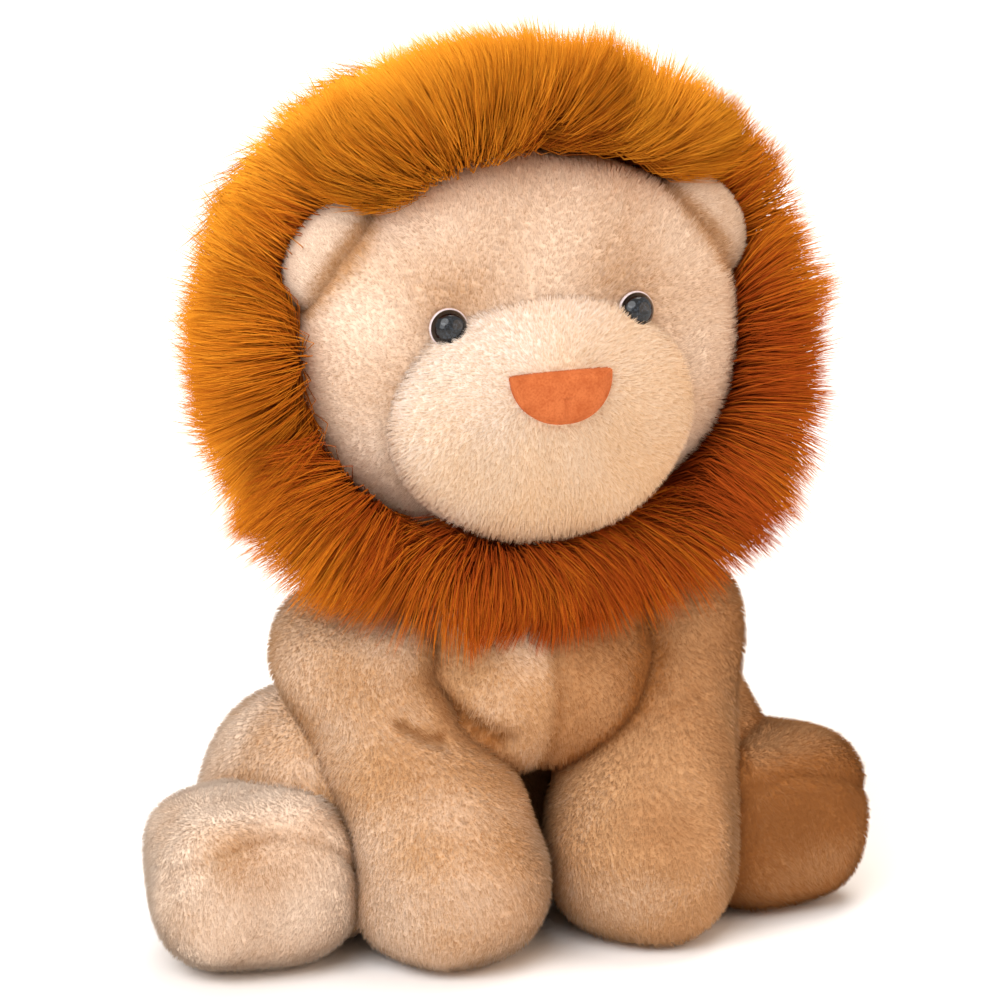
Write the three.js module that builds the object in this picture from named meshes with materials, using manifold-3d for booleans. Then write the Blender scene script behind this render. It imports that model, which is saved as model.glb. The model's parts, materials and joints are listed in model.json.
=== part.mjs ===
// A sitting plush lion, in millimetres: it faces -Y, its left side is +X, and it rests on z = 0.
// Each stuffed form is a cover of pile fabric, open where it is sewn to its neighbour, with its own filling.
import * as THREE from 'three';
import { mergeVertices } from 'three/addons/utils/BufferGeometryUtils.js';
import Module from 'manifold-3d';

const wasm = await Module();
wasm.setup();

// Fabric and clearances
const coverThickness = 6; // fabric and pile together
const seatGap = 0.3; // between pieces that touch
const turnGap = 0.8; // between the torso and what turns on it
const sweepGap = 2; // round the places that a form passes through as it turns
const groundCut = 0.5; // how deep a form is cut flat where it stands
const cutOverrun = 10; // how far a cutter reaches past what it cuts
const mergeDistance = 0.001;

// Torso: an upright pear, round about the neck's axis above the shoulders
const torsoHeight = 142;
const torsoHalfWidth = 65;
const torsoFrontReach = 62;
const torsoBackReach = 98;
const neckY = -30;
const neckHoleRadius = 32;
// up, side, front and back, as shares of the four sizes above
const torsoRingShares = [
  [0, 0.62, 0.06, 0.7],
  [0.08, 0.84, 0.18, 0.87],
  [0.2, 0.95, 0.38, 0.97],
  [0.35, 1, 0.66, 1],
  [0.48, 0.99, 0.92, 0.94],
  [0.62, 0.955, 1, 0.74],
  [0.75, 0.855, 0.896, 0.567],
  [0.88, 0.6, 0.629, 0.398],
  [1, 0, 0, 0],
];

// Head: a wide drum with a shallow face and a deep back
const headHeight = 126;
const neckDepth = 14; // how far the top of the torso goes up into the head
const headBottomZ = torsoHeight - neckDepth;
const headCentreY = -55;
const headHalfWidth = 75;
const headFrontReach = 24;
const headBackReach = 69;
const headSquareness = 2.5; // power of the oval that its sections follow
const headTurnDegrees = 15; // each way
// up and girth
const headRingShares = [
  [0, 0],
  [0.04, 0.4],
  [0.13, 0.7],
  [0.28, 0.92],
  [0.5, 1],
  [0.72, 0.92],
  [0.87, 0.7],
  [0.96, 0.4],
  [1, 0],
];

// Muzzle: a padded panel low on the face
const muzzleHalfWidth = 51;
const muzzleHalfHeight = 40;
const muzzleDepth = 46;
const muzzleProud = 16; // in front of the face
const muzzleFrontY = headCentreY - headFrontReach - muzzleProud;
const muzzleUp = 44; // from the head's bottom to the muzzle's middle
const muzzleCentreZ = headBottomZ + muzzleUp;
// forward and girth
const muzzleRingShares = [
  [0, 0],
  [0.2, 0.72],
  [0.45, 0.96],
  [0.64, 1],
  [0.8, 0.87],
  [0.93, 0.58],
  [1, 0],
];

// Nose: a D-shaped patch with its flat edge up
const noseHalfWidth = 17;
const noseHeight = 15.5;
const noseTopUp = 18; // over the muzzle's middle
const noseTopZ = muzzleCentreZ + noseTopUp;
const noseThickness = 3;
const noseArcPoints = 12;

// Eyes: a dome on a shank, locked by a washer behind the fabric
const eyeRadius = 6;
const eyeProud = 4.5;
const eyeSunk = 1.5;
const eyeOutX = 31.6;
const eyeUp = 76; // over the head's bottom
const eyeZ = headBottomZ + eyeUp;
const shankRadius = 2;
const shankLength = 11;
const washerRadius = 6.5;
const washerThickness = 1.6;
const eyeSegments = 16;
const eyeArcPoints = 5;
const surfaceStep = 0.5; // for the slope of the face under an eye

// Ears: rounded half discs, leaning out along the head's upper curve
const earHalfWidth = 20;
const earLength = 30;
const earHalfThickness = 6;
const earOutX = 51;
const earY = -53;
const earDrop = 38.5; // from the head's top to the ear's root
const earZ = headBottomZ + headHeight - earDrop;
const earLeanDegrees = 52;
const earClearing = 22; // how far forward the pile of the mane stays clear of an ear
// out and girth
const earRingShares = [
  [0, 0.8],
  [0.3, 0.96],
  [0.55, 1],
  [0.75, 0.88],
  [0.9, 0.62],
  [0.98, 0.3],
  [1, 0],
];

// Mane: a fat ring of long pile round the face, closed behind the head and pushed out by the chest below
const maneHalfWidth = 107;
const maneHalfHeight = 97;
const maneUp = 65.5; // from the head's bottom to the mane's middle
const maneCentreZ = headBottomZ + maneUp;
const maneBackY = 44;
const maneFrontY = -73;
const maneBottomPush = 36;
const maneSquareness = 2.12;
const shoulderClearing = 3.4; // between the mane and the shoulders that it turns over
const maneSegments = 24;
// outward from the middle, and forward from the back to the front lip
const maneOutlineShares = [
  [0, 0],
  [0.42, 0.05],
  [0.72, 0.2],
  [0.9, 0.42],
  [0.985, 0.66],
  [1, 0.8],
  [0.97, 0.91],
  [0.88, 0.985],
  [0.79, 1],
  [0.7, 0.97],
  [0.64, 0.86],
  [0.6, 0.8],
  [0, 0.8],
];

// Front legs: columns from the shoulder down to a round paw
const pawHalfWidth = 32.8;
const pawHalfDepth = 33.5;
const pawOutX = 33.2;
const pawY = -80;
const shoulderOutX = 50;
const shoulderY = -48;
const shoulderDrop = 58; // from the neck to the middle of the shoulder
const shoulderZ = torsoHeight - shoulderDrop;
const shoulderRise = 37; // from the middle of the shoulder to its top
const frontLegHeight = shoulderZ + shoulderRise;
const frontSwingDegrees = 20;
// up, way from the paw to the shoulder, girth
const frontLegRingShares = [
  [0, 0, 0.5],
  [0.05, 0, 0.8],
  [0.14, 0, 0.97],
  [0.28, 0, 1],
  [0.44, 0.25, 0.95],
  [0.6, 0.65, 0.92],
  [0.76, 1, 0.95],
  [0.89, 1, 0.8],
  [1, 1, 0],
];

// Thighs: plump balls beside the torso
const thighHeight = 84;
const thighHalfWidth = 36;
const thighHalfDepth = 45;
const thighOutX = 62;
const thighY = -33;
const hipOutX = 50;
const hipY = 8;
const hindSplayDegrees = 15;
// up and girth
const thighRingShares = [
  [0, 0.45],
  [0.08, 0.76],
  [0.25, 0.96],
  [0.48, 1],
  [0.72, 0.85],
  [0.9, 0.52],
  [1, 0],
];

// Hind feet: blunt stubs that point forward
const footLength = 68;
const footHalfWidth = 33;
const footHalfHeight = 29;
const footOutward = 26; // from the middle of the thigh
const footOutX = thighOutX + footOutward;
const feetShiftX = -5; // the toy sits a little askew, with both hind feet towards its right
const footFrontY = -92;
const footSquareness = 3;
// forward and girth
const footRingShares = [
  [0, 0],
  [0.1, 0.68],
  [0.3, 0.93],
  [0.66, 1],
  [0.86, 0.9],
  [0.97, 0.62],
  [1, 0],
];

// Tail: a thin sewn tube that runs down to the ground, curls to one side and ends in a tuft
const tailRadius = 9;
const tailRootInset = 6; // from the furthest point of the back, which is higher up
const tailRootY = neckY + torsoBackReach - tailRootInset;
const tailRootZ = 24;
const tailReachBack = 60;
const tailReachSide = 58;
const tailSwingDegrees = 25;
const tailRings = 10;
const tuftLength = 50;
const tuftRadius = 15;
const tuftOverlap = 12;
// sideways, back and down from the root, starting inside the torso
const tailRouteShares = [
  [0, -0.25, -0.1],
  [0.03, 0.3, 0.35],
  [0.2, 0.64, 1],
  [0.55, 0.9, 1],
  [1, 1, 1],
];
const tailEndGirthShares = [0, 0.66, 0.92]; // of the rings at either end
// along and girth
const tuftRingShares = [
  [0, 0],
  [0.06, 0.5],
  [0.25, 0.9],
  [0.45, 1],
  [0.68, 0.8],
  [0.88, 0.42],
  [1, 0],
];

// Facets: an inner form has half the sides and every other ring of the outer one
const bodySides = 20;
const muzzleSides = 18;
const limbSides = 14;
const tailSides = 8;
const boreSides = 8;
const turnSteps = 2; // from the first place of a turned cutter to its last
const swingSteps = 4; // the same for a front leg, whose paw swings far

const shortPile = { color: 0xd9b28c, roughness: 0.95, metalness: 0 };
const palePile = { color: 0xe9d0ae, roughness: 0.95, metalness: 0 };
const longPile = { color: 0xa9561b, roughness: 0.9, metalness: 0 };
const suede = { color: 0xc0603a, roughness: 0.85, metalness: 0 };
const blackPlastic = { color: 0x1c1e23, roughness: 0.15, metalness: 0 };
const washerPlastic = { color: 0xe6e6e2, roughness: 0.5, metalness: 0 };
const fibre = { color: 0xf4f2ee, roughness: 1, metalness: 0 };

// A closed geometry as a solid that can be joined and cut
function solidOf(geometry) {
  const bare = geometry.clone();
  bare.deleteAttribute('normal');
  bare.deleteAttribute('uv');
  const merged = mergeVertices(bare, mergeDistance);
  const corners = [];
  for (let i = 0; i < merged.index.count; i += 3) {
    const [a, b, c] = [0, 1, 2].map((k) => merged.index.getX(i + k));
    if (a !== b && b !== c && c !== a) corners.push(a, b, c);
  }
  return new wasm.Manifold(new wasm.Mesh({
    numProp: 3,
    vertProperties: new Float32Array(merged.attributes.position.array),
    triVerts: new Uint32Array(corners),
  }));
}

// A solid as a geometry that a mesh can show
function geometryOf(solid) {
  const mesh = solid.getMesh();
  const geometry = new THREE.BufferGeometry();
  geometry.setAttribute('position', new THREE.BufferAttribute(new Float32Array(mesh.vertProperties), 3));
  geometry.setIndex(new THREE.BufferAttribute(new Uint32Array(mesh.triVerts), 1));
  geometry.computeVertexNormals();
  return geometry;
}

function without(solid, cutters) {
  return cutters.reduce((rest, cutter) => rest.subtract(cutter), solid);
}

function moved(solid, matrix) {
  return solidOf(geometryOf(solid).applyMatrix4(matrix));
}

// The turn by an angle about an axis through a point
function turnAbout(point, axis, degrees) {
  return new THREE.Matrix4()
    .makeTranslation(point)
    .multiply(new THREE.Matrix4().makeRotationAxis(axis, THREE.MathUtils.degToRad(degrees)))
    .multiply(new THREE.Matrix4().makeTranslation(point.clone().negate()));
}

// Value of a table of pairs at a share, straight between its rows
function readTable(rows, column, share) {
  const last = rows.length - 1;
  let i = 0;
  while (i < last - 1 && rows[i + 1][0] < share) i += 1;
  const part = (share - rows[i][0]) / (rows[i + 1][0] - rows[i][0]);
  return rows[i][column] + part * (rows[i + 1][column] - rows[i][column]);
}

// A closed form through oval rings. Each ring has a centre, two unit directions across it, a half-width along
// the first, and two half-depths along the second: before and behind the centre. An end ring of no width is
// a point.
function formThroughRings(rings, sides, squareness) {
  const points = [];
  const starts = [];
  for (const ring of rings) {
    starts.push(points.length / 3);
    const corners = ring.side > 0 ? sides : 1;
    for (let i = 0; i < corners; i += 1) {
      const angle = ((i + 0.5) / sides) * 2 * Math.PI;
      const [sine, cosine] = [Math.sin(angle), Math.cos(angle)];
      const across = ring.side * Math.sign(sine) * Math.abs(sine) ** (2 / squareness);
      const reach = cosine > 0 ? ring.front : ring.back;
      const deep = reach * Math.sign(cosine) * Math.abs(cosine) ** (2 / squareness);
      const point = ring.centre.clone().addScaledVector(ring.sideways, across);
      points.push(...point.addScaledVector(ring.forward, deep));
    }
  }
  const index = [];
  const last = rings.length - 1;
  for (let r = 0; r < last; r += 1) {
    for (let i = 0; i < sides; i += 1) {
      const j = (i + 1) % sides;
      const lowPoint = rings[r].side === 0;
      const highPoint = rings[r + 1].side === 0;
      const [a, b] = lowPoint ? [starts[r], starts[r]] : [starts[r] + i, starts[r] + j];
      const [c, d] = highPoint ? [starts[r + 1], starts[r + 1]] : [starts[r + 1] + i, starts[r + 1] + j];
      if (!lowPoint) index.push(a, b, d);
      if (!highPoint) index.push(a, d, c);
    }
  }
  const fanOver = (start, outward) => {
    for (let i = 1; i < sides - 1; i += 1) {
      index.push(start, start + (outward ? i : i + 1), start + (outward ? i + 1 : i));
    }
  };
  if (rings[0].side > 0) fanOver(starts[0], false);
  if (rings[last].side > 0) fanOver(starts[last], true);
  const geometry = new THREE.BufferGeometry();
  geometry.setAttribute('position', new THREE.Float32BufferAttribute(points, 3));
  geometry.setIndex(index);
  const solid = solidOf(geometry);
  return solid.volume() > 0 ? solid : solidOf(turnedInsideOut(geometry));
}

function turnedInsideOut(geometry) {
  const corners = [...geometry.index.array];
  for (let i = 0; i < corners.length; i += 3) [corners[i], corners[i + 1]] = [corners[i + 1], corners[i]];
  return geometry.clone().setIndex(corners);
}

// The share of a form's length at which the ring of an inset form lies, so that its ends draw in as well
function insetShare(share, inset, length) {
  return (inset + share * (length - 2 * inset)) / length;
}

// The form that rows of ring shares describe. ringOf makes a ring from a row. An inner form is plainer.
function formFromRows(rows, sides, squareness, inset, ringOf) {
  const inner = inset > 0;
  const kept = rows.filter((_, i) => !inner || i % 2 === 0 || i === rows.length - 1);
  return formThroughRings(kept.map(ringOf), inner ? sides / 2 : sides, squareness);
}

const up = new THREE.Vector3(0, 0, 1);
const left = new THREE.Vector3(1, 0, 0);
const ahead = new THREE.Vector3(0, -1, 0);

// Everything under the ground, which cuts a standing form flat
const groundSize = 2 * (torsoBackReach + tailReachBack + tailReachSide + tuftLength);
const groundGeometry = new THREE.BoxGeometry(groundSize, groundSize, cutOverrun);
const ground = solidOf(groundGeometry.translate(0, 0, -cutOverrun / 2));

function torsoForm(inset) {
  const rise = torsoHeight + groundCut;
  return formFromRows(torsoRingShares, bodySides, 2, inset, ([share, side, front, back]) => ({
    centre: new THREE.Vector3(0, neckY, insetShare(share, inset, rise) * rise - groundCut),
    sideways: left,
    forward: ahead,
    side: side * (torsoHalfWidth - inset),
    front: front * (torsoFrontReach - inset),
    back: back * (torsoBackReach - inset),
  }));
}

function headForm(inset) {
  return formFromRows(headRingShares, bodySides, headSquareness, inset, ([share, girth]) => ({
    centre: new THREE.Vector3(
      0,
      headCentreY,
      headBottomZ + insetShare(share, inset, headHeight) * headHeight,
    ),
    sideways: left,
    forward: ahead,
    side: girth * (headHalfWidth - inset),
    front: girth * (headFrontReach - inset),
    back: girth * (headBackReach - inset),
  }));
}

function muzzleForm(inset) {
  const backY = muzzleFrontY + muzzleDepth;
  return formFromRows(muzzleRingShares, muzzleSides, 2, inset, ([share, girth]) => ({
    centre: new THREE.Vector3(0, backY - insetShare(share, inset, muzzleDepth) * muzzleDepth, muzzleCentreZ),
    sideways: left,
    forward: up,
    side: girth * (muzzleHalfWidth - inset),
    front: girth * (muzzleHalfHeight - inset),
    back: girth * (muzzleHalfHeight - inset),
  }));
}

// hand is 1 on the lion's left and -1 on its right
function shoulderPlace(hand) {
  return new THREE.Vector3(hand * shoulderOutX, shoulderY, shoulderZ);
}

function frontLegForm(hand, inset) {
  const rise = frontLegHeight + groundCut;
  return formFromRows(frontLegRingShares, limbSides, 2, inset, ([share, , girth]) => {
    const at = insetShare(share, inset, rise);
    const way = readTable(frontLegRingShares, 1, at);
    const x = hand * (pawOutX + way * (shoulderOutX - pawOutX));
    return {
      centre: new THREE.Vector3(x, pawY + way * (shoulderY - pawY), at * rise - groundCut),
      sideways: left,
      forward: ahead,
      side: girth * (pawHalfWidth - inset),
      front: girth * (pawHalfDepth - inset),
      back: girth * (pawHalfDepth - inset),
    };
  });
}

function thighForm(hand, inset) {
  const rise = thighHeight + groundCut;
  return formFromRows(thighRingShares, limbSides, 2, inset, ([share, girth]) => ({
    centre: new THREE.Vector3(hand * thighOutX, thighY, insetShare(share, inset, rise) * rise - groundCut),
    sideways: left,
    forward: ahead,
    side: girth * (thighHalfWidth - inset),
    front: girth * (thighHalfDepth - inset),
    back: girth * (thighHalfDepth - inset),
  }));
}

function footForm(hand, inset) {
  const backY = footFrontY + footLength;
  return formFromRows(footRingShares, limbSides, footSquareness, inset, ([share, girth]) => ({
    centre: new THREE.Vector3(
      hand * footOutX + feetShiftX,
      backY - insetShare(share, inset, footLength) * footLength,
      footHalfHeight - groundCut,
    ),
    sideways: left,
    forward: up,
    side: girth * (footHalfWidth - inset),
    front: girth * (footHalfHeight - inset),
    back: girth * (footHalfHeight - inset),
  }));
}

function earForm(hand, inset, clearing) {
  const rings = earRingShares.map(([share, girth]) => ({
    centre: new THREE.Vector3(0, 0, insetShare(share, inset, earLength) * earLength),
    sideways: left,
    forward: ahead,
    side: girth * (earHalfWidth - inset),
    front: girth * (earHalfThickness - inset) + (girth > 0 ? clearing : 0),
    back: girth * (earHalfThickness - inset),
  }));
  const lean = new THREE.Matrix4().makeRotationY(hand * THREE.MathUtils.degToRad(earLeanDegrees));
  const place = new THREE.Matrix4().makeTranslation(hand * earOutX, earY, earZ);
  return moved(formThroughRings(rings, limbSides, 2), place.multiply(lean));
}

function maneForm() {
  const depth = maneBackY - maneFrontY;
  const outline = maneOutlineShares.map(([out, forward]) => new THREE.Vector2(out, forward * depth));
  const geometry = new THREE.LatheGeometry(outline, maneSegments);
  geometry.scale(maneHalfWidth, -1, maneHalfHeight);
  const places = geometry.attributes.position;
  for (let i = 0; i < places.count; i += 1) {
    const [x, y, z] = [places.getX(i), places.getY(i), places.getZ(i)];
    const [across, high] = [Math.abs(x / maneHalfWidth), Math.abs(z / maneHalfHeight)];
    const round = Math.hypot(across, high);
    const square = (across ** maneSquareness + high ** maneSquareness) ** (1 / maneSquareness);
    const widen = round > 0 ? round / square : 1;
    const down = Math.max(0, -z / maneHalfHeight);
    places.setXYZ(i, x * widen, y + maneBackY - maneBottomPush * down ** 2, z * widen + maneCentreZ);
  }
  const solid = solidOf(geometry);
  return solid.volume() > 0 ? solid : solidOf(turnedInsideOut(geometry));
}

// Y of the face at a place on it
function faceY(x, z) {
  const girth = readTable(headRingShares, 1, (z - headBottomZ) / headHeight);
  const out = Math.abs(x) / (girth * headHalfWidth);
  return headCentreY - girth * headFrontReach * (1 - out ** headSquareness) ** (1 / headSquareness);
}

// Turns +Y to the face's outward direction under an eye and moves the origin onto the face there
function eyePlace(hand) {
  const x = hand * eyeOutX;
  const y = faceY(x, eyeZ);
  const slopeX = (faceY(x + surfaceStep, eyeZ) - faceY(x - surfaceStep, eyeZ)) / (2 * surfaceStep);
  const slopeZ = (faceY(x, eyeZ + surfaceStep) - faceY(x, eyeZ - surfaceStep)) / (2 * surfaceStep);
  const outward = new THREE.Vector3(slopeX, -1, slopeZ).normalize();
  const turn = new THREE.Quaternion().setFromUnitVectors(new THREE.Vector3(0, 1, 0), outward);
  return new THREE.Matrix4().compose(new THREE.Vector3(x, y, eyeZ), turn, new THREE.Vector3(1, 1, 1));
}

// A round solid about +Y from pairs of radius and height
function turnedSolid(pairs, segments) {
  const geometry = new THREE.LatheGeometry(pairs.map(([r, y]) => new THREE.Vector2(r, y)), segments);
  const solid = solidOf(geometry);
  return solid.volume() > 0 ? solid : solidOf(turnedInsideOut(geometry));
}

// A cutter that clears a round piece of this radius by the seat's gap, also in the middle of its facets
function boreSolid(pieceRadius, low, high) {
  const radius = (pieceRadius + seatGap) / Math.cos(Math.PI / boreSides);
  return turnedSolid([[0, low], [radius, low], [radius, high], [0, high]], boreSides);
}

function eyeSolid() {
  const dome = Array.from({ length: eyeArcPoints }, (_, i) => {
    const angle = (i / eyeArcPoints) * (Math.PI / 2);
    return [eyeRadius * Math.cos(angle), eyeProud * Math.sin(angle)];
  });
  const shankEnd = -eyeSunk - shankLength;
  const shank = [[0, shankEnd], [shankRadius, shankEnd], [shankRadius, -eyeSunk], [eyeRadius, -eyeSunk]];
  return turnedSolid([...shank, ...dome, [0, eyeProud]], eyeSegments);
}

function washerSolid() {
  const near = -coverThickness - seatGap;
  const far = near - washerThickness;
  const bore = shankRadius + seatGap;
  const outline = [[bore, far], [washerRadius, far], [washerRadius, near], [bore, near], [bore, far]];
  return turnedSolid(outline, eyeSegments);
}

function noseSolid() {
  const outline = new THREE.Shape();
  outline.moveTo(-noseHalfWidth, 0);
  outline.absellipse(0, 0, noseHalfWidth, noseHeight, Math.PI, 2 * Math.PI, false, 0);
  const options = { depth: muzzleDepth, bevelEnabled: false, curveSegments: noseArcPoints };
  const prism = solidOf(new THREE.ExtrudeGeometry(outline, options)
    .rotateX(Math.PI / 2)
    .translate(0, muzzleFrontY + muzzleDepth / 2, noseTopZ));
  return prism.intersect(muzzleForm(-noseThickness - seatGap)).subtract(muzzleForm(-seatGap));
}

const tailEnd = new THREE.Vector3(tailReachSide, tailRootY + tailReachBack, tailRadius - groundCut);
const tailRoute = new THREE.CatmullRomCurve3(tailRouteShares.map(([side, back, down]) => new THREE.Vector3(
  side * tailEnd.x,
  tailRootY + back * tailReachBack,
  tailRootZ + down * (tailEnd.z - tailRootZ),
)));

function tailForm(inset) {
  const rings = Array.from({ length: tailRings }, (_, i) => {
    const fromEnd = Math.min(i, tailRings - 1 - i);
    const share = i / (tailRings - 1);
    const along = tailRoute.getTangentAt(share);
    const sideways = new THREE.Vector3().crossVectors(up, along).normalize();
    const girth = tailEndGirthShares[fromEnd] ?? 1;
    const radius = girth * (tailRadius - inset);
    const intoTail = girth > 0 ? 0 : inset * (i === 0 ? 1 : -1);
    const centre = tailRoute.getPointAt(share).addScaledVector(along, intoTail);
    const forward = new THREE.Vector3().crossVectors(along, sideways);
    return { centre, sideways, forward, side: radius, front: radius, back: radius };
  });
  return formThroughRings(rings, tailSides, 2);
}

function tuftForm() {
  const along = tailRoute.getTangentAt(1);
  const sideways = new THREE.Vector3().crossVectors(up, along).normalize();
  const start = tailEnd.clone().addScaledVector(along, -tuftOverlap);
  const rings = tuftRingShares.map(([share, girth]) => {
    const centre = start.clone().addScaledVector(along, share * tuftLength);
    centre.z = girth * tuftRadius + (1 - girth) * tailRadius - groundCut;
    const radius = girth * tuftRadius;
    return { centre, sideways, forward: up, side: radius, front: radius, back: radius };
  });
  return formThroughRings(rings, tailSides, 2);
}

// A form at even steps of a turn, to cut what stays clear of it: close where it rests, wider where it moves
function throughTurn(form, point, axis, from, to, { gap = sweepGap, steps = turnSteps } = {}) {
  return Array.from({ length: steps + 1 }, (_, i) => {
    const degrees = from + (i / steps) * (to - from);
    return degrees === 0 ? form(-seatGap) : moved(form(-gap), turnAbout(point, axis, degrees));
  });
}

const lion = new THREE.Group();
lion.name = 'plush_lion';

function addGroup(point) {
  const group = new THREE.Group();
  group.position.copy(point);
  lion.add(group);
  return group;
}

// Adds a piece to a group that stands at a point, so that the piece's own origin is that point
function addPiece(group, name, solid, finish) {
  const at = group.position.clone().negate();
  const geometry = geometryOf(solid).translate(at.x, at.y, at.z);
  const mesh = new THREE.Mesh(geometry, new THREE.MeshStandardMaterial(finish));
  mesh.name = name;
  group.add(mesh);
}

// A form's cover, open where a cutter goes deeper than the fabric, and the filling inside it
function addStuffed(group, name, form, cutters, finish) {
  addPiece(group, `${name}_cover`, without(form(0), [form(coverThickness), ...cutters]), finish);
  addPiece(group, `${name}_filling`, without(form(coverThickness + seatGap), cutters), fibre);
}

// Torso, with a hole in the cover where the neck is sewn
const torsoTurn = torsoForm(-turnGap);
const torsoGroup = addGroup(new THREE.Vector3());
const neckHole = solidOf(new THREE.CylinderGeometry(neckHoleRadius, neckHoleRadius, torsoHeight, bodySides)
  .rotateX(Math.PI / 2)
  .translate(0, neckY, torsoHeight));
const torsoCover = without(torsoForm(0), [torsoForm(coverThickness), neckHole, ground]);
addPiece(torsoGroup, 'torso_cover', torsoCover, shortPile);
addPiece(torsoGroup, 'torso_filling', torsoForm(coverThickness + seatGap), fibre);

// Head, with the muzzle's stuffing in one lump with its own
const headGroup = addGroup(new THREE.Vector3(0, neckY, torsoHeight));
const eyePlaces = { left: eyePlace(1), right: eyePlace(-1) };
const headSeat = headForm(-seatGap);
const eyeBottom = eyeSunk + shankLength + seatGap;
const eyeCutters = Object.values(eyePlaces).flatMap((place) => [
  moved(boreSolid(washerRadius, -eyeBottom, -coverThickness), place),
  moved(boreSolid(shankRadius, -eyeBottom, eyeProud), place),
  moved(boreSolid(eyeRadius, -eyeSunk - seatGap, eyeProud + cutOverrun), place),
]);
const headCover = without(headForm(0), [
  headForm(coverThickness),
  muzzleForm(coverThickness),
  torsoTurn,
  ...eyeCutters,
]);
addPiece(headGroup, 'head_cover', headCover, shortPile);
const headFilling = headForm(coverThickness + seatGap).add(muzzleForm(coverThickness + seatGap));
addPiece(headGroup, 'head_filling', without(headFilling, [torsoTurn, ...eyeCutters]), fibre);
const muzzleCover = without(muzzleForm(0), [muzzleForm(coverThickness), headSeat, torsoTurn, ...eyeCutters]);
addPiece(headGroup, 'muzzle_cover', muzzleCover, palePile);
addPiece(headGroup, 'nose', noseSolid(), suede);
for (const [side, place] of Object.entries(eyePlaces)) {
  addPiece(headGroup, `eye_${side}`, moved(eyeSolid(), place), blackPlastic);
  addPiece(headGroup, `eye_washer_${side}`, moved(washerSolid(), place), washerPlastic);
}
addPiece(headGroup, 'ear_left', earForm(1, 0, 0).subtract(headSeat), shortPile);
addPiece(headGroup, 'ear_right', earForm(-1, 0, 0).subtract(headSeat), shortPile);
const earClearings = [1, -1].map((hand) => earForm(hand, -seatGap, earClearing));
const neck = headGroup.position;
const legClearings = [1, -1].flatMap((hand) => [0, -frontSwingDegrees].flatMap((swing) => {
  const leg = moved(frontLegForm(hand, -shoulderClearing), turnAbout(shoulderPlace(hand), left, swing));
  return [-headTurnDegrees, 0, headTurnDegrees].map((turn) => moved(leg, turnAbout(neck, up, turn)));
}));
const maneCutters = [headSeat, muzzleForm(-seatGap), torsoTurn, ...earClearings, ...legClearings];
const mane = without(maneForm(), maneCutters);
addPiece(headGroup, 'mane', mane, longPile);

// Limbs, cut by the torso and by each other wherever they come near while they move
for (const [side, hand] of Object.entries({ left: 1, right: -1 })) {
  const shoulder = shoulderPlace(hand);
  const leg = (inset) => frontLegForm(hand, inset);
  const legCutters = [...throughTurn(torsoForm, shoulder, left, 0, frontSwingDegrees), ground];
  addStuffed(addGroup(shoulder), `front_leg_${side}`, leg, legCutters, shortPile);

  const hip = new THREE.Vector3(hand * hipOutX, hipY, 0);
  const hindGroup = addGroup(hip);
  const hindCutters = [
    ...throughTurn(torsoForm, hip, up, -hand * hindSplayDegrees, 0),
    ...throughTurn(leg, hip, up, -hand * hindSplayDegrees, 0),
    ...throughTurn(leg, shoulder, left, -frontSwingDegrees, 0, { steps: swingSteps }),
    ground,
  ];
  const thigh = (inset) => thighForm(hand, inset);
  addStuffed(hindGroup, `thigh_${side}`, thigh, hindCutters, shortPile);
  const foot = (inset) => footForm(hand, inset);
  addStuffed(hindGroup, `hind_foot_${side}`, foot, [thigh(-seatGap), ...hindCutters], shortPile);
}

// Tail
const tailRoot = new THREE.Vector3(0, tailRootY, tailRootZ);
const tailGroup = addGroup(tailRoot);
const tailTurn = [tailRoot, up, -tailSwingDegrees, tailSwingDegrees];
const tailCutters = throughTurn(torsoForm, ...tailTurn, { gap: turnGap });
addPiece(tailGroup, 'tail', without(tailForm(0), [...tailCutters, ground]), shortPile);
addPiece(tailGroup, 'tail_tuft', without(tuftForm(), [tailForm(-seatGap), ground]), longPile);

export default lion;
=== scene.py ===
"""A sitting plush lion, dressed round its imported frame: pile fabric, a mane, a suede nose and glossy eyes.

Lengths are metres, +Z up. The lion faces -Y and its left side is +X. Every stuffed form is a fabric skin,
worked out with numpy, and the pile that grows on it: fibres that are real meshes.
"""

import json
import math

import bpy
import numpy as np
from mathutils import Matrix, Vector
from mathutils.kdtree import KDTree


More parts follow.
